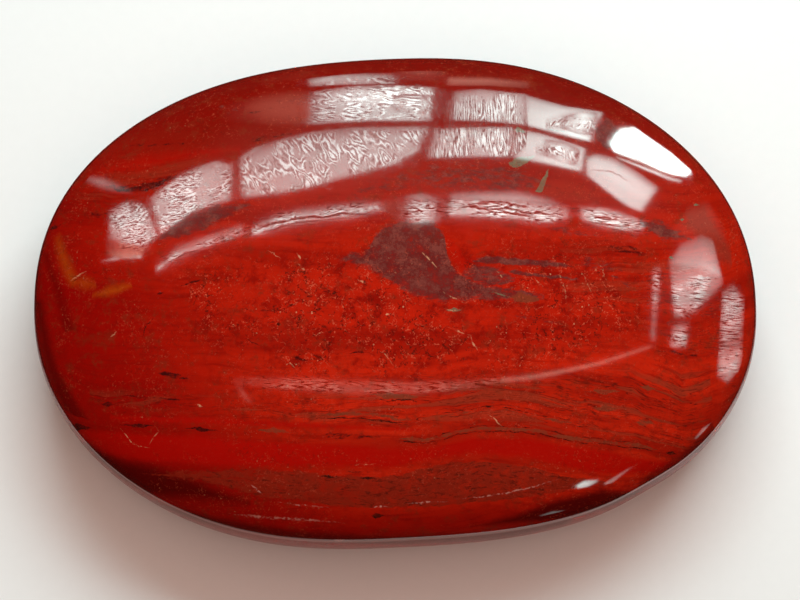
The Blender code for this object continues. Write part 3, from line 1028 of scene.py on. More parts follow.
def section(thickness):
    """The section of the stone from its crown to the middle of its base, a point for each ring."""
    kept_fall = 1 - EDGE_ROUNDING / (thickness - EDGE_HEIGHT)
    dome_turn = math.acos(1 - kept_fall * (1 - math.cos(DOME_END)))
    points = [dome_point(dome_turn * ring / DOME_RINGS, thickness) for ring in range(DOME_RINGS + 1)]

    side_top = EDGE_HEIGHT - EDGE_ROUNDING
    dome_end = points[-1]
    side_start = side_point(side_top)
    step = 1e-4
    before = dome_point(dome_turn - step, thickness)
    corner = crossing(before, dome_end, side_start, side_point(side_top - step))
    for ring in range(1, ROUNDING_RINGS + 1):
        t = ring / ROUNDING_RINGS
        weights = ((1 - t) ** 2, 2 * t * (1 - t), t**2)
        ends = (dome_end, corner, side_start)
        points.append(tuple(sum(w * end[i] for w, end in zip(weights, ends)) for i in range(2)))

    for ring in range(1, SIDE_RINGS + 1):
        points.append(side_point(side_top + (WIDEST_HEIGHT - side_top) * ring / SIDE_RINGS))
    for ring in range(1, UNDERSIDE_RINGS + 1):
        points.append(underside_point(math.pi / 2 * (1 - ring / UNDERSIDE_RINGS)))
    for ring in range(1, BASE_RINGS + 1):
        points.append((BASE_SHARE * (1 - ring / BASE_RINGS), 0.0))
    return points


def swell(x, y, share):
    """How far the ground top stands above or below the even dome. It dies out at the edge."""
    total = 0.0
    for height, wave_x, phase_x, wave_y, phase_y in SWELLS:
        turn_x = 2 * math.pi * x / wave_x + phase_x
        turn_y = 2 * math.pi * y / wave_y + phase_y
        total += height * math.sin(turn_x) * math.cos(turn_y)
    return total * (1 - share**2) ** 2


def stone_rings(settings):
    """The places of the stone's surface: for each ring from crown to base, a place for each segment."""
    angles = [2 * math.pi * segment / SEGMENTS for segment in range(SEGMENTS)]
    angles = [angle - 2 * math.pi if angle > math.pi else angle for angle in angles]
    rims = [outline_radius(angle) for angle in angles]
    rings = []
    for share, height in section(settings.thickness):
        ring = []
        for angle, rim in zip(angles, rims):
            radius = share * rim * (1 - flat_spot(angle, share)) * settings.width / 2
            x = radius * math.cos(angle)
            y = radius * math.sin(angle)
            lift = swell(x, y, share) if height > WIDEST_HEIGHT else 0.0
            ring.append(Vector((x, y, height + lift)))
        rings.append(ring)
    for axis, size in enumerate((settings.length, settings.width, settings.thickness)):
        low = min(place[axis] for ring in rings for place in ring)
        high = max(place[axis] for ring in rings for place in ring)
        start = 0.0 if axis == 2 else -size / 2
        for ring in rings:
            for place in ring:
                place[axis] = start + size * (place[axis] - low) / (high - low)
    return rings


def unrolled(rings):
    """The rings laid out flat from the first one, each place as far out as it is along the surface."""
    flat = [[Vector((0.0, 0.0)) for _ in rings[0]]]
    for ring, inner in zip(rings[1:], rings):
        row = []
        for segment, (place, before) in enumerate(zip(ring, inner)):
            angle = 2 * math.pi * segment / SEGMENTS
            out = flat[-1][segment].length + (place - before).length
            row.append(Vector((math.cos(angle), math.sin(angle))) * out)
        flat.append(row)
    return flat


def charted(rings, chart):
    """The unrolled rings fitted into one part of the texture map."""
    flat = unrolled(rings)
    spans = (CHART_SIDES, chart)
    for axis, (start, end) in enumerate(spans):
        low = min(place[axis] for ring in flat for place in ring)
        high = max(place[axis] for ring in flat for place in ring)
        for ring in flat:
            for place in ring:
                place[axis] = start + (end - start) * (place[axis] - low) / (high - low)
    return flat


def stone_faces(last_ring):
    """Faces as corners (ring, segment), from the crown down, with one corner at either pole."""
    for ring in range(last_ring):
        for segment in range(SEGMENTS):
            following = (segment + 1) % SEGMENTS
            corners = [(ring, segment), (ring + 1, segment), (ring + 1, following), (ring, following)]
            if ring == 0:
                corners.pop(3)
            if ring == last_ring - 1:
                corners.pop(2)
            yield ring, corners


def stone_mesh(settings):
    """The whole stone as one closed mesh, with a texture map of its own."""
    rings = stone_rings(settings)
    last_ring = len(rings) - 1
    widest_ring = DOME_RINGS + ROUNDING_RINGS + SIDE_RINGS
    places = [rings[0][0]]
    for ring in rings[1:-1]:
        places.extend(ring)
    places.append(rings[-1][0])

    def number(corner):
        ring, segment = corner
        if ring in (0, last_ring):
            return 0 if ring == 0 else len(places) - 1
        return 1 + (ring - 1) * SEGMENTS + segment

    top = charted(rings[: widest_ring + 1], TOP_CHART)
    underside = charted(rings[: widest_ring - 1 : -1], UNDERSIDE_CHART)
    faces = []
    spots = []
    for ring, corners in stone_faces(last_ring):
        faces.append([number(corner) for corner in corners])
        for corner_ring, segment in corners:
            row = top[corner_ring] if ring < widest_ring else underside[last_ring - corner_ring]
            spots.extend(row[segment])

    mesh = bpy.data.meshes.new("polished_palm_stone")
    mesh.from_pydata(places, [], faces)
    mesh.uv_layers.new(name="OFBake").data.foreach_set("uv", spots)
    mesh.shade_smooth()
    mesh.update()
    return mesh


class PhotoView:
    """The photograph's camera. It turns a pixel into a place on the stone, or into what is mirrored there."""

    def __init__(self, mesh, stage):
        back = Vector((0.0, -math.cos(stage.elevation), math.sin(stage.elevation)))
        self.place = Vector(stage.aim) + back * stage.distance
        self.turn = (-back).to_track_quat("-Z", "Y")
        self.step = SENSOR_WIDTH / PHOTO_WIDTH / stage.lens
        self.mesh = mesh
        self.surface = BVHTree.FromPolygons(
            [vertex.co for vertex in mesh.vertices], [face.vertices for face in mesh.polygons]
        )

    def look(self, pixel):
        """The direction in which the camera sees a pixel."""
        right = (pixel[0] - PHOTO_WIDTH / 2) * self.step
        up = (PHOTO_HEIGHT / 2 - pixel[1]) * self.step
        return (self.turn @ Vector((right, up, -1.0))).normalized()

    def touch(self, pixel):
        """The place on the stone, its normal and the direction of sight.

        A pixel just off the stone is moved in.
        """
        middle = Vector((PHOTO_WIDTH / 2, PHOTO_HEIGHT / 2))
        pixel = Vector(pixel)
        for _ in range(PHOTO_HEIGHT):
            sight = self.look(pixel)
            place, _, index, _ = self.surface.ray_cast(self.place, sight)
            if place is not None:
                face = self.mesh.polygons[index]
                corners = [self.mesh.vertices[number] for number in face.vertices]
                shares = poly_3d_calc([corner.co for corner in corners], place)
                normal = sum((corner.normal * share for corner, share in zip(corners, shares)), Vector())
                return place, normal.normalized(), sight
            pixel += (middle - pixel).normalized()
        raise RuntimeError("the camera does not see the stone")

    def banded(self, pixel):
        """A pixel's place in the banding, in millimetres along and across it."""
        place, _, _ = self.touch(pixel)
        place = place / MM
        return place.x + DIP_ALONG * place.z, place.y + DIP_ACROSS * place.z

    def mirrored(self, pixel, reach):
        """The place, as far off as the reach, that the polish shows at a pixel."""
        place, normal, sight = self.touch(pixel)
        return place + sight.reflect(normal) * reach


class Nodes:
    """Short calls for the nodes of one tree. A value is a number, a tuple or another node's output."""

    def __init__(self, tree):
        self.tree = tree

    def add(self, kind, inputs=None, **settings):
        node = self.tree.nodes.new("ShaderNode" + kind)
        for name, value in settings.items():
            setattr(node, name, value)
        for key, value in (inputs or {}).items():
            self.feed(node.inputs[key], value)
        return node

    def feed(self, socket, value):
        if isinstance(value, bpy.types.NodeSocket):
            self.tree.links.new(value, socket)
        else:
            socket.default_value = value

    def math(self, operation, *values, clamp=False):
        return self.add("Math", dict(enumerate(values)), operation=operation, use_clamp=clamp).outputs[0]

    def vector(self, operation, *values):
        keys = {0: values[0], "Scale": values[1]} if operation == "SCALE" else dict(enumerate(values))
        return self.add("VectorMath", keys, operation=operation).outputs[0]

    def product(self, first, *others):
        """The values multiplied."""
        for other in others:
            first = self.math("MULTIPLY", first, other)
        return first

    def off(self, value, level):
        """How far a value is from a level, above it or below it."""
        return self.math("ABSOLUTE", self.math("SUBTRACT", value, level))

    def remap(self, value, low, high, to_low=0.0, to_high=1.0):
        """The value taken smoothly from one range to another, and kept inside it."""
        inputs = {"Value": value, "From Min": low, "From Max": high, "To Min": to_low, "To Max": to_high}
        return self.add("MapRange", inputs, interpolation_type="SMOOTHSTEP").outputs[0]

    def fade(self, value, name):
        """The value through one of the FADES."""
        return self.remap(value, *FADES[name])

    def stretch(self, value, low, high):
        """The value as a share of a range, also outside it."""
        inputs = {"Value": value, "From Min": low, "From Max": high}
        return self.add("MapRange", inputs, clamp=False).outputs[0]

    def mix(self, share, first, second):
        """A colour between two others, which are outputs of nodes or plain colours."""
        node = self.add("Mix", {0: share}, data_type="RGBA")
        self.feed(node.inputs[6], first if isinstance(first, bpy.types.NodeSocket) else (*first, 1.0))
        self.feed(node.inputs[7], second if isinstance(second, bpy.types.NodeSocket) else (*second, 1.0))
        return node.outputs[2]

    def noise(self, place, name, output="Fac"):
        """One of the NOISES, as a level or as a colour."""
        noise = NOISES[name]
        inputs = {"Vector": place, "Scale": noise.scale, "Detail": noise.octaves,
                  "Roughness": noise.roughness, "Distortion": noise.distortion}
        return self.add("TexNoise", inputs).outputs[output]

    def curve(self, value, points):
        """A curve through points from 0 to 1, in order, as straight pieces."""
        node = self.add("FloatCurve", {"Value": value})
        line = node.mapping.curves[0]
        while len(line.points) < len(points):
            line.points.new(0.5, 0.5)
        for point, place in zip(line.points, points):
            point.location = place
            point.handle_type = "VECTOR"
        node.mapping.extend = "HORIZONTAL"
        node.mapping.update()
        return node.outputs[0]

    def place(self, along, across, height=0.0):
        return self.add("CombineXYZ", {0: along, 1: across, 2: height}).outputs[0]

    def split(self, place):
        return self.add("SeparateXYZ", {0: place}).outputs


def as_patch(mark):
    """A streak as the patch between its two edges, which meet at its ends."""
    if isinstance(mark, Patch):
        return mark
    half = mark.width / 2
    shift = (half, 0.0) if mark.steep else (0.0, half)

    def edge(side):
        ends = (0, len(mark.line) - 1)
        return [(x + side * shift[0] * (n not in ends), y + side * shift[1] * (n not in ends))
                for n, (x, y) in enumerate(mark.line)]

    return Patch(edge(-1), edge(1), mark.soft, mark.strength, mark.ragged, mark.steep)


def pixel_size(view):
    """Width of a pixel on the stone, in millimetres, at the middle of the photograph."""
    middle = Vector((PHOTO_WIDTH / 2, PHOTO_HEIGHT / 2))
    return abs(view.banded(middle + Vector((1, 0)))[0] - view.banded(middle)[0])


def patch_mask(nodes, view, patch, places):
    """1 inside the patch, 0 outside, with a soft edge. The places are the smooth and the ragged ones."""
    along, across = (places["ragged"] if patch.ragged else places["smooth"])[:2]
    edges = [[view.banded(pixel) for pixel in edge] for edge in (patch.upper, patch.lower)]
    if patch.steep:
        along, across = across, along
        edges = [[(v, u) for u, v in edge] for edge in edges]
    edges = [sorted(edge) for edge in edges]
    middle = [sum(point[1] for point in edge) / len(edge) for edge in edges]
    upper, lower = edges if middle[0] > middle[1] else edges[::-1]
    soft = patch.soft * pixel_size(view)
    for end, side in ((0, -1), (-1, 1)):
        reach = abs(upper[end][0] - lower[end][0]) / 2 + pixel_size(view)
        tip_along = (upper[end][0] + lower[end][0]) / 2 + side * reach
        tip_across = (upper[end][1] + lower[end][1]) / 2
        upper.insert(0 if end == 0 else len(upper), (tip_along, tip_across - soft * OUTER_SHARE))
        lower.insert(0 if end == 0 else len(lower), (tip_along, tip_across + soft * OUTER_SHARE))
    start = upper[0][0]
    end = upper[-1][0]
    low = min(point[1] for point in upper + lower)
    high = max(point[1] for point in upper + lower)
    share = nodes.stretch(along, start, end)
    level = nodes.stretch(across, low, high)
    curves = []
    for edge in (upper, lower):
        points = [((u - start) / (end - start), (v - low) / (high - low)) for u, v in edge]
        curves.append(nodes.curve(share, points))
    inside = nodes.math("MINIMUM", nodes.math("SUBTRACT", curves[0], level),
                        nodes.math("SUBTRACT", level, curves[1]))
    soft /= high - low
    return nodes.remap(inside, -soft * OUTER_SHARE, soft * (1 - OUTER_SHARE), 0.0, patch.strength)


def covered(nodes, view, smooth, ragged, patches):
    """The highest mask of several patches, from a smooth and a ragged place."""
    places = {"smooth": nodes.split(smooth), "ragged": nodes.split(ragged)}
    mask = 0.0
    for patch in patches.values():
        mask = nodes.math("MAXIMUM", mask, patch_mask(nodes, view, patch, places))
    return mask


def mark_group(name, marks, view):
    """A node group with one mask for all the marks of a kind, from a smooth and a ragged place."""
    group = bpy.data.node_groups.new(name, "ShaderNodeTree")
    for place in ("Smooth place", "Ragged place"):
        group.interface.new_socket(place, in_out="INPUT", socket_type="NodeSocketVector")
    group.interface.new_socket("Mask", in_out="OUTPUT", socket_type="NodeSocketFloat")
    nodes = Nodes(group)
    start = group.nodes.new("NodeGroupInput")
    end = group.nodes.new("NodeGroupOutput")
    patches = {label: as_patch(mark) for label, mark in marks.items()}
    nodes.feed(end.inputs[0], covered(nodes, view, start.outputs[0], start.outputs[1], patches))
    return group


def shaken(nodes, place, wander, name):
    """The place moved about by the wander, up to half of one of the WANDERS either way."""
    return nodes.vector("ADD", place, nodes.vector("SCALE", wander, WANDERS[name]))


Places = namedtuple("Places", "solid along across height smooth ragged wander")


def stone_places(nodes):
    """Where a point lies in the stone, and along and across its banding, in millimetres."""
    metres = nodes.add("TexCoord").outputs["Object"]
    solid = nodes.vector("SCALE", metres, 1 / MM)
    x, y, z = nodes.split(solid)
    along = nodes.math("MULTIPLY_ADD", z, DIP_ALONG, x)
    across = nodes.math("MULTIPLY_ADD", z, DIP_ACROSS, y)
    smooth = nodes.place(along, across)
    noise = nodes.noise(nodes.place(along, across, z), "wander", "Color")
    wander = nodes.vector("SUBTRACT", noise, (MIDDLE_LEVEL,) * 3)
    return Places(solid, along, across, z, smooth, shaken(nodes, smooth, wander, "ragged"), wander)


def layer_level(nodes, view, places):
    """Height in the layering, arched in the far half and bent like LAYER_LINE in the near half."""
    line = sorted(view.banded(pixel) for pixel in LAYER_LINE)
    start, end = line[0][0], line[-1][0]
    low = min(across for _, across in line)
    high = max(across for _, across in line)
    points = [((along - start) / (end - start), (across - low) / (high - low)) for along, across in line]
    bend = nodes.curve(nodes.stretch(places.along, start, end), points)
    near = nodes.remap(places.across, *LAYER_BEND_ZONE, 0.0, high - low)
    far = nodes.fade(places.across, "arch")
    out = nodes.math("DIVIDE", places.along, ARCH_HALF_LENGTH)
    level = nodes.math("MULTIPLY_ADD", nodes.math("MULTIPLY", out, out), far, places.across)
    level = nodes.math("SUBTRACT", level, nodes.math("MULTIPLY", bend, near))
    swing = nodes.noise(places.solid, "swing")
    return nodes.math("MULTIPLY_ADD", swing, LAYER_SWING, level)


def drawn_out(nodes, places, level, name):
    """A place for noises that are drawn out along the layers, by one of the STRETCHES."""
    share = STRETCHES[name]
    return nodes.place(nodes.math("MULTIPLY", places.along, share), level,
                       nodes.math("MULTIPLY", places.height, share))


def plain_red(nodes, settings, places, layers, middle):
    """The red of the jasper, with its clouds, laminae and blotches, and painted shade towards the far rim,
    the near left end and the near rim, before anything is laid on it.

    In the middle the laminae give way to small clouds.
    """
    broad = nodes.noise(layers, "broad")
    fine = nodes.noise(layers, "laminae")
    blotch = nodes.noise(places.solid, "blotches")
    clouds = nodes.noise(shaken(nodes, places.solid, places.wander, "clouds"), "clouds")
    colour = nodes.mix(nodes.fade(places.across, "near_red"), settings.red, settings.near_red)
    bright = nodes.product(nodes.fade(blotch, "bright"), nodes.fade(places.across, "bright_half"))
    colour = nodes.mix(bright, colour, settings.bright_red)
    # Painted shade: darker towards the far rim.
    colour = nodes.mix(nodes.fade(places.across, "shaded_far_red"), colour, settings.shaded_far_red)
    colour = nodes.mix(nodes.fade(broad, "deep_bands"), colour, settings.deep_red)
    # Painted shade: a darker, purer red towards the near left end and the near rim, where less light falls.
    left = nodes.fade(nodes.math("MULTIPLY_ADD", places.across, SHADING_SLANT, places.along), "left_end_shading")
    low = nodes.fade(places.across, "near_rim_shading")
    colour = nodes.mix(nodes.math("MAXIMUM", left, low), colour, settings.shaded_blood_red)
    colour = nodes.mix(nodes.fade(blotch, "rust"), colour, settings.rust)
    laminae = nodes.product(nodes.fade(fine, "laminae"), nodes.fade(middle, "laminae_middle"))
    colour = nodes.mix(laminae, colour, settings.deep_red)
    clouded = nodes.product(nodes.fade(clouds, "clouds"), nodes.fade(middle, "clouds_middle"))
    return nodes.mix(clouded, colour, settings.deep_red)


def fine_layers(nodes, settings, view, places, layers, breaks, colour):
    """Lays thin brown layers, edged by dark hairlines, over the colour in the layered zones."""
    zone = covered(nodes, view, places.smooth, places.ragged, LAYERED_ZONES)
    levels = {name: nodes.noise(layers, name) for name in LAYER_HAIRLINES}
    fill = nodes.fade(levels["thick_layers"], "layer_fill")
    colour = nodes.mix(nodes.product(zone, fill), colour, settings.brown)
    lines = 0.0
    for name, (width, strength) in LAYER_HAIRLINES.items():
        gap = nodes.off(levels[name], LAYER_EDGE)
        lines = nodes.math("MAXIMUM", lines, nodes.remap(gap, width, width * LINE_CORE, 0.0, strength))
    broken = nodes.fade(breaks, "layer_breaks")
    return nodes.mix(nodes.product(lines, broken, zone), colour, settings.hairline)


def crackled(nodes, settings, places, layers, breaks, mask, colour):
    """Draws the short wavy cracks that follow the layers inside a mask."""
    level = nodes.noise(shaken(nodes, layers, places.wander, "lens_cracks"), "lens_cracks")
    gap = nodes.off(level, MIDDLE_LEVEL)
    broken = nodes.fade(breaks, "lens_breaks")
    return nodes.mix(nodes.product(nodes.fade(gap, "lens_cracks"), broken, mask), colour, settings.black)


def broken_up(nodes, mask, noise, name):
    """The mask with its soft edges broken up by a noise, through one of the FADES."""
    level = nodes.math("MULTIPLY_ADD", nodes.math("SUBTRACT", noise, MIDDLE_LEVEL), BREAK_UP, mask)
    return nodes.fade(level, name)


def markings(nodes, settings, view, places, level, breaks, colour):
    """Lays the photograph's markings, painted shade, haze and glints among them, over the colour, each kind
    in its own colour.
    """
    streaks = nodes.noise(drawn_out(nodes, places, level, "streaks"), "streaks")
    dashes = nodes.noise(drawn_out(nodes, places, level, "dashes"), "dashes")
    dots = nodes.noise(places.solid, "dots")
    mottling = nodes.noise(places.solid, "mottling")
    depth = nodes.fade(mottling, "depth")
    maroon = nodes.mix(nodes.fade(mottling, "pale_maroon"), settings.maroon, settings.pale_maroon)
    masks = {}
    for kind, marks in MARK_KINDS.items():
        inputs = {0: places.smooth, 1: places.ragged}
        mask = nodes.add("Group", inputs, node_tree=mark_group(kind + "_marks", marks, view)).outputs[0]
        if kind in DOTTED_KINDS:
            mask = nodes.product(mask, nodes.fade(dots, DOTTED_KINDS[kind]))
        elif kind not in EVEN_KINDS:
            edge = "broken_maroon_edge" if kind == "maroon" else "broken_edge"
            mask = broken_up(nodes, mask, dashes if kind == "black" else streaks, edge)
        masks[kind] = mask
    for kind in PAINTED_KINDS:
        paint = maroon if kind == "maroon" else getattr(settings, kind)
        share = masks[kind] if kind in EVEN_KINDS else nodes.product(masks[kind], depth)
        colour = nodes.mix(share, colour, paint)
        if kind == "lens":
            layers = drawn_out(nodes, places, level, "lens")
            colour = crackled(nodes, settings, places, layers, breaks, masks[kind], colour)
    return colour, masks


def strewn(nodes, place, specks):
    """Small dots strewn at random, as one of the SPECKS says."""
    size = specks.size / specks.spacing
    cells = nodes.add("TexVoronoi", {"Vector": place, "Scale": 1 / specks.spacing})
    pick = nodes.split(cells.outputs["Color"])[0]
    chosen = nodes.remap(pick, specks.share, specks.share - SHARE_STEP)
    return nodes.product(chosen, nodes.remap(cells.outputs["Distance"], size, size / 2))


def speckled(nodes, settings, places, middle, breaks, masks, colour):
    """Strews specks, dark strokes and fine pale squiggles over the colour, and draws the veins."""
    field = nodes.product(nodes.fade(nodes.noise(places.solid, "speck_field"), "speck_field"), middle)
    rough = shaken(nodes, places.solid, places.wander, "specks")
    pale = strewn(nodes, rough, SPECKS["pale"])
    dark = strewn(nodes, nodes.vector("ADD", rough, DARK_SHIFT), SPECKS["dark"])
    dots = nodes.noise(places.solid, "chain_dots")
    curls = nodes.noise(shaken(nodes, places.solid, places.wander, "curls"), "curls")
    chain = nodes.fade(nodes.off(curls, MIDDLE_LEVEL), "chain")
    chain = nodes.product(chain, nodes.fade(dots, "chain_dots"))
    shifted = nodes.vector("ADD", places.solid, STROKE_SHIFT)
    strokes = nodes.noise(shaken(nodes, shifted, places.wander, "strokes"), "strokes")
    dark_strokes = nodes.fade(nodes.off(strokes, MIDDLE_LEVEL), "stroke")
    dark_strokes = nodes.product(dark_strokes, nodes.fade(breaks, "stroke_breaks"))
    plain = nodes.math("MULTIPLY_ADD", masks["maroon"], SPECKS_IN_MAROON - 1, 1.0)
    field = nodes.product(field, plain)
    for mask, paint, strength in (
        (dark_strokes, settings.hairline, STROKE_STRENGTH),
        (chain, settings.pale_red, CHAIN_STRENGTH),
        (dark, settings.hairline, SPECK_STRENGTH),
        (pale, settings.vein, SPECK_STRENGTH),
    ):
        colour = nodes.mix(nodes.product(mask, field, strength), colour, paint)
    return nodes.mix(masks["vein"], colour, settings.vein)


def rippled(nodes, view, places):
    """The ripples in the polish, from -1 to 1, where they are, and how deeply they are cracked there.

    Each zone turns and stretches the place on its own, and one noise then makes the ripples of them all.
    """
    split = {"smooth": nodes.split(places.smooth), "ragged": nodes.split(places.ragged)}
    along, across, _ = nodes.split(shaken(nodes, places.smooth, places.wander, "ripples"))

    def added(total, zone, weights):
        """The total with a zone's own turned and stretched place added to it."""
        turned = nodes.math("MULTIPLY", along, weights[0])
        turned = nodes.math("MULTIPLY_ADD", across, weights[1], turned)
        return nodes.math("MULTIPLY_ADD", zone, turned, total)

    main, cross, worked, cracked = 0.0, 0.0, 0.0, 0.0
    for ripples in RIPPLES.values():
        zone = Patch(ripples.upper, ripples.lower, ripples.soft, ragged=False)
        zone = patch_mask(nodes, view, zone, split)
        turn = math.radians(ripples.slant)
        slow = ripples.scale * ripples.share
        main = added(main, zone, (math.cos(turn) * slow, -math.sin(turn) * slow))
        cross = added(cross, zone, (math.sin(turn) * ripples.scale, math.cos(turn) * ripples.scale))
        worked = nodes.math("MAXIMUM", worked, zone)
        cracked = nodes.math("MAXIMUM", cracked, nodes.product(zone, ripples.cracked))
    level = nodes.noise(nodes.place(main, cross), "ripples")
    wave = nodes.math("SINE", nodes.product(level, RIPPLE_REPEATS))
    return nodes.product(wave, worked), worked, cracked


def polish(nodes, settings, view, places, lines, shader, colour):
    """The gloss, and what the polish has kept: ripples, fine cracks painted dark in their troughs, partly as
    painted shade, and a duller side.

    The lines are cracks drawn one by one.
    """
    wave, worked, cracked = rippled(nodes, view, places)
    broken = nodes.noise(places.smooth, "broken_polish")
    clusters = nodes.noise(places.smooth, "clusters")
    unrest = nodes.fade(cracked, "unrest")
    wave = nodes.product(wave, nodes.fade(clusters, "clusters"))
    crest = nodes.math("MULTIPLY_ADD", nodes.math("SUBTRACT", broken, MIDDLE_LEVEL), unrest, wave)
    # The ripples' troughs: partly fine cracks, partly painted shade on the dark side of their relief.
    cracks = nodes.product(cracked, nodes.fade(crest, "cracks"))
    gloss = nodes.math("MULTIPLY_ADD", cracks, -CRACK_GLOSS_LOSS, PLAIN_GLOSS)
    cracks = nodes.math("MAXIMUM", cracks, lines)
    spread = nodes.math("SUBTRACT", clusters, MIDDLE_LEVEL)
    crest = nodes.math("MULTIPLY_ADD", spread, CLUSTER_HEIGHT, crest)
    # Painted black: the drawn cracks, and the troughs as painted shade.
    colour = nodes.mix(nodes.product(cracks, CRACK_AND_TROUGH_DARKNESS), colour, settings.black)
    nodes.feed(shader.inputs["Base Color"], colour)

    side = nodes.fade(places.height, "below_edge")
    side = nodes.product(side, nodes.fade(places.height, "above_underside"))
    coat = nodes.product(worked, nodes.fade(crest, "coat"))
    coat = nodes.math("MULTIPLY_ADD", nodes.math("SUBTRACT", 1.0, worked), PLAIN_COAT, coat)
    coat = nodes.product(coat, nodes.math("SUBTRACT", 1.0, nodes.math("MAXIMUM", side, cracks)))
    nodes.feed(shader.inputs["Coat Weight"], coat)
    shader.inputs["Coat Roughness"].default_value = settings.roughness
    shader.inputs["Coat IOR"].default_value = COAT_IOR

    slow = nodes.product(nodes.noise(places.smooth, "slow_relief"), SLOW_RELIEF_HEIGHT)
    fine = nodes.product(nodes.noise(places.smooth, "fine_relief"), FINE_RELIEF_HEIGHT)
    height = nodes.product(nodes.math("ADD", slow, fine), settings.relief)
    bump = nodes.add("Bump", {"Height": height, "Distance": MM, "Strength": 1.0})
    nodes.feed(shader.inputs["Normal"], bump.outputs[0])
    nodes.feed(shader.inputs["Coat Normal"], bump.outputs[0])
    dull = nodes.noise(places.ragged, "dullness")
    roughness = nodes.remap(dull, *DULLNESS_LEVELS, settings.roughness, settings.roughness * 2)
    for mask, dullness in ((cracks, CRACK_DULLNESS), (lines, DRAWN_CRACK_DULLNESS), (side, SIDE_DULLNESS)):
        roughness = nodes.math("MULTIPLY_ADD", mask, dullness, roughness)
    nodes.feed(shader.inputs["Roughness"], roughness)
    gloss = nodes.math("MULTIPLY_ADD", side, -SIDE_GLOSS_LOSS, gloss, clamp=True)
    nodes.feed(shader.inputs["Specular IOR Level"], gloss)
    shader.inputs["IOR"].default_value = STONE_IOR


def jasper(settings, view):
    """Polished jasper: red clouds and layers, the photograph's markings, and the relief of the polish; shade,
    haze and glints are painted in places.
    """
    material = bpy.data.materials.new("polished_snakeskin_jasper")
    material.use_nodes = True
    nodes = Nodes(material.node_tree)
    places = stone_places(nodes)
    level = layer_level(nodes, view, places)
    layers = drawn_out(nodes, places, level, "layers")
    middle = covered(nodes, view, places.smooth, places.ragged, {"speckled": SPECKLED_ZONE})
    middle = nodes.math("MAXIMUM", middle, REST_LIKE_MIDDLE)
    colour = plain_red(nodes, settings, places, layers, middle)
    breaks = nodes.noise(places.ragged, "breaks")
    colour = fine_layers(nodes, settings, view, places, layers, breaks, colour)
    colour, masks = markings(nodes, settings, view, places, level, breaks, colour)
    colour = speckled(nodes, settings, places, middle, breaks, masks, colour)
    shader = material.node_tree.nodes["Principled BSDF"]
    polish(nodes, settings, view, places, masks["crack"], shader, colour)
    return material


def profile(glows, share):
    """The glow at a share of the way along a row of evenly spaced glows."""
    spot = share * (len(glows) - 1)
    first = min(int(spot), len(glows) - 2)
    return glows[first] + (glows[first + 1] - glows[first]) * (spot - first)


def along_line(line, share):
    """The point at a share of the length of a line of pixels."""
    points = [Vector(point) for point in line]
    lengths = [(b - a).length for a, b in zip(points, points[1:])]
    left = share * sum(lengths)
    for start, end, length in zip(points, points[1:], lengths):
        if left <= length:
            return start.lerp(end, left / length)
        left -= length
    return points[-1]


def edge_share(row_share, column_share, height, length):
    """The share of the glow that a pane keeps near its edges, where it fades over a few pixels."""
    across = min(row_share, LOWER_EDGE_CRISPNESS * (1 - row_share)) * height
    along = min(column_share, 1 - column_share) * length
    fade = min(EDGE_FADE, height * EDGE_FADE_SHARE)
    return EDGE_GLOW + (1 - EDGE_GLOW) * min(min(across, along) / fade, 1)


def pane_mesh(name, pane, view):
    """A sheet that the stone mirrors between two lines of pixels, with its glow at each corner."""
    start = Vector(pane.upper[0]).lerp(Vector(pane.lower[0]), 0.5)
    end = Vector(pane.upper[-1]).lerp(Vector(pane.lower[-1]), 0.5)
    length = (end - start).length
    places = []
    glows = []
    for row in range(PANE_ROWS + 1):
        down = row / PANE_ROWS
        for column in range(PANE_COLUMNS + 1):
            share = column / PANE_COLUMNS
            upper = along_line(pane.upper, share)
            lower = along_line(pane.lower, share)
            places.append(view.mirrored(upper.lerp(lower, down), pane.reach))
            glow = profile(pane.down, down) * profile(pane.across, share)
            fade = edge_share(down, share, (lower - upper).length, length)
            glows.append(glow * fade * pane.strength)
    faces = []
    for row in range(PANE_ROWS):
        for column in range(PANE_COLUMNS):
            first = row * (PANE_COLUMNS + 1) + column
            faces.append((first, first + 1, first + PANE_COLUMNS + 2, first + PANE_COLUMNS + 1))
    mesh = bpy.data.meshes.new(name)
    mesh.from_pydata(places, [], faces)
    mesh.attributes.new("glow", "FLOAT", "POINT").data.foreach_set("value", glows)
    mesh.update()
    return mesh


def pane_light(settings, name, tint):
    """The light of the panes: each corner's own glow times the glow of them all."""
    material = bpy.data.materials.new(name)
    material.use_nodes = True
    material.cycles.emission_sampling = "NONE"
    tree = material.node_tree
    tree.nodes.clear()
    nodes = Nodes(tree)
    glow = nodes.add("Attribute", attribute_name="glow").outputs["Fac"]
    light = nodes.add("Emission", {"Strength": nodes.math("MULTIPLY", glow, settings.glow)})
    light.inputs["Color"].default_value = (*tint, 1.0)
    nodes.add("OutputMaterial", {"Surface": light.outputs[0]})
    return material


def seen_in_polish_only(sheet):
    """Hides a sheet from the camera and from dull surfaces."""
    sheet.visible_camera = False
    sheet.visible_diffuse = False
    sheet.visible_shadow = False


def plain_material(name, colour, roughness, gloss):
    """A plain finish, with its nodes and its shader."""
    material = bpy.data.materials.new(name)
    material.use_nodes = True
    shader = material.node_tree.nodes["Principled BSDF"]
    shader.inputs["Base Color"].default_value = (*colour, 1.0)
    shader.inputs["Roughness"].default_value = roughness
    shader.inputs["Specular IOR Level"].default_value = gloss
    return material, Nodes(material.node_tree), shader


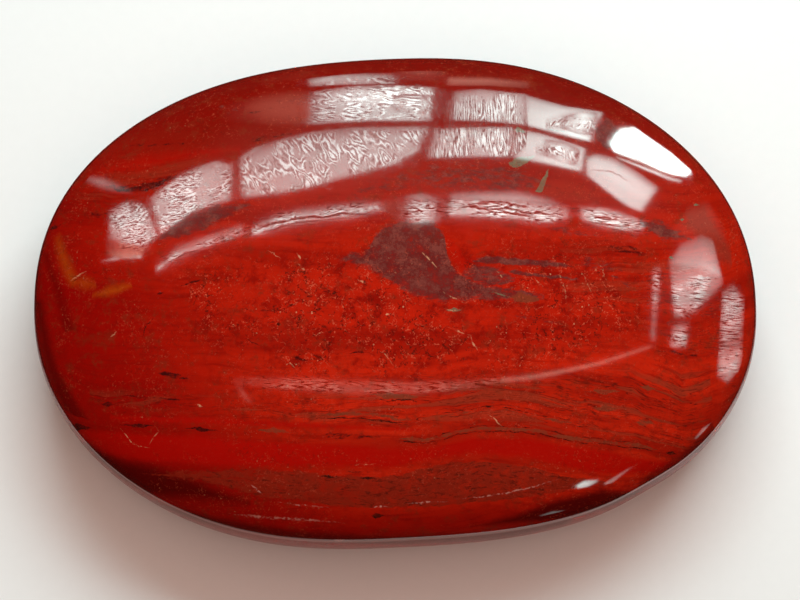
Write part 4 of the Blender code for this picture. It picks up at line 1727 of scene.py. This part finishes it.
def make_panes(settings, view):
    """All the panes, seen only in the polish."""
    light = pane_light(settings, "pane_light", settings.glow_tint)
    warm_light = pane_light(settings, "warm_pane_light", settings.warm_tint)
    for name, pane in PANES.items():
        sheet = bpy.data.objects.new("pane_" + name, pane_mesh("pane_" + name, pane, view))
        sheet.data.materials.append(warm_light if pane.warm else light)
        bpy.context.scene.collection.objects.link(sheet)
        seen_in_polish_only(sheet)
        sheet.visible_transmission = False


def make_floor(settings):
    """A plain pale floor under the stone."""
    corners = [(x * FLOOR_HALF, y * FLOOR_HALF, 0) for x, y in ((-1, -1), (1, -1), (1, 1), (-1, 1))]
    mesh = bpy.data.meshes.new("floor")
    mesh.from_pydata(corners, [], [(0, 1, 2, 3)])
    material, nodes, shader = plain_material("pale_floor", settings.floor, FLOOR_ROUGHNESS, FLOOR_GLOSS)
    grain = nodes.noise(nodes.add("TexCoord").outputs["Object"], "floor")
    shade = tuple(value * FLOOR_SHADE for value in settings.floor)
    nodes.feed(shader.inputs["Base Color"], nodes.mix(grain, shade, tuple(settings.floor)))
    mesh.materials.append(material)
    floor = bpy.data.objects.new("floor", mesh)
    bpy.context.scene.collection.objects.link(floor)


def make_dark_surround(settings):
    """A dark sheet just above the floor round the stone, seen only in the polish, like a dark table."""
    turns = [2 * math.pi * n / CARD_CORNERS for n in range(CARD_CORNERS)]
    places = []
    for turn in turns:
        x = settings.pale_middle[0] + settings.pale_size[0] / 2 * math.cos(turn)
        y = settings.pale_middle[1] + settings.pale_size[1] / 2 * math.sin(turn)
        places.append((x, y, CARD_HEIGHT))
    places += [(CARD_REACH * math.cos(turn), CARD_REACH * math.sin(turn), CARD_HEIGHT) for turn in turns]
    faces = []
    for n in range(CARD_CORNERS):
        following = (n + 1) % CARD_CORNERS
        faces.append((n, CARD_CORNERS + n, CARD_CORNERS + following, following))
    mesh = bpy.data.meshes.new("dark_surround")
    mesh.from_pydata(places, [], faces)
    mesh.materials.append(plain_material("dark_card", CARD_COLOUR, CARD_ROUGHNESS, 0.0)[0])
    sheet = bpy.data.objects.new("dark_surround", mesh)
    bpy.context.scene.collection.objects.link(sheet)
    seen_in_polish_only(sheet)


def soft_light(name, place, size, power, tint):
    """A soft light aimed at the stone, which the polish doesn't mirror."""
    lamp = bpy.data.lights.new(name, "AREA")
    lamp.shape = "RECTANGLE"
    lamp.size, lamp.size_y = size
    lamp.energy = power
    lamp.color = tint
    light = bpy.data.objects.new(name, lamp)
    light.location = place
    light.rotation_mode = "QUATERNION"
    light.rotation_quaternion = (-Vector(place)).to_track_quat("-Z", "Y")
    light.visible_glossy = False
    bpy.context.scene.collection.objects.link(light)


def make_room(settings):
    """The dim room round the stage."""
    world = bpy.data.worlds.new("dim_room")
    world.use_nodes = True
    background = world.node_tree.nodes["Background"]
    background.inputs["Color"].default_value = (*ROOM_COLOUR, 1.0)
    background.inputs["Strength"].default_value = settings.room
    bpy.context.scene.world = world


def make_camera(settings, view):
    """The photograph's camera."""
    data = bpy.data.cameras.new("camera")
    data.sensor_width = SENSOR_WIDTH
    data.lens = settings.lens
    data.clip_start = NEAREST_SIGHT
    data.clip_end = FARTHEST_SIGHT
    camera = bpy.data.objects.new("camera", data)
    camera.location = view.place
    camera.rotation_mode = "QUATERNION"
    camera.rotation_quaternion = view.turn
    bpy.context.scene.collection.objects.link(camera)
    bpy.context.scene.camera = camera


class MakeStone(bpy.types.Operator):
    """Makes the polished stone in place of its plain solid"""

    bl_idname = "palm_stone.make_stone"
    bl_label = "Palm stone"

    def execute(self, context):
        settings = context.scene.palm_stone_settings
        mesh = stone_mesh(settings)
        stone = bpy.data.objects.new("polished_palm_stone", mesh)
        context.scene.collection.objects.link(stone)
        mesh.materials.append(jasper(settings, PhotoView(mesh, context.scene.palm_stone_stage)))
        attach(stone, "root")
        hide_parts(CAD_NODE)
        return {"FINISHED"}


class SetStage(bpy.types.Operator):
    """Sets the floor, the lights, the mirrored panes and the camera round the stone"""

    bl_idname = "palm_stone.set_stage"
    bl_label = "Stage"

    def execute(self, context):
        settings = context.scene.palm_stone_stage
        stone = bpy.data.objects.get("polished_palm_stone")
        if stone is None:
            raise RuntimeError("make the stone before its stage")
        view = PhotoView(stone.data, settings)
        make_camera(settings, view)
        make_floor(settings)
        make_dark_surround(settings)
        make_panes(settings, view)
        soft_light("window_light", WINDOW_PLACE, WINDOW_SIZE, settings.window, settings.window_tint)
        soft_light("fill_light", FILL_PLACE, FILL_SIZE, settings.fill, settings.fill_tint)
        make_room(settings)
        context.scene.view_settings.view_transform = "Standard"
        return {"FINISHED"}


class StonePanel(bpy.types.Panel):
    """Lists the parts of the palm stone in the sidebar"""

    bl_idname = "VIEW3D_PT_palm_stone"
    bl_label = "Palm Stone"
    bl_space_type = "VIEW_3D"
    bl_region_type = "UI"
    bl_category = "Palm Stone"

    def draw(self, context):
        layout = self.layout
        scene = context.scene
        for group, operator in (
            (scene.palm_stone_settings, MakeStone),
            (scene.palm_stone_stage, SetStage),
        ):
            box = layout.box()
            for name in group.__annotations__:
                box.prop(group, name)
            box.operator(operator.bl_idname)


CLASSES = (StoneSettings, StageSettings, MakeStone, SetStage, StonePanel)


def register():
    for item in CLASSES:
        bpy.utils.register_class(item)
    bpy.types.Scene.palm_stone_settings = bpy.props.PointerProperty(type=StoneSettings)
    bpy.types.Scene.palm_stone_stage = bpy.props.PointerProperty(type=StageSettings)


def unregister():
    del bpy.types.Scene.palm_stone_stage
    del bpy.types.Scene.palm_stone_settings
    for item in reversed(CLASSES):
        bpy.utils.unregister_class(item)


def main():
    """Makes the stone and its stage."""
    register()
    bpy.ops.palm_stone.make_stone()
    bpy.ops.palm_stone.set_stage()
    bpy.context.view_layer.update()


if __name__ == "__main__":
    main()
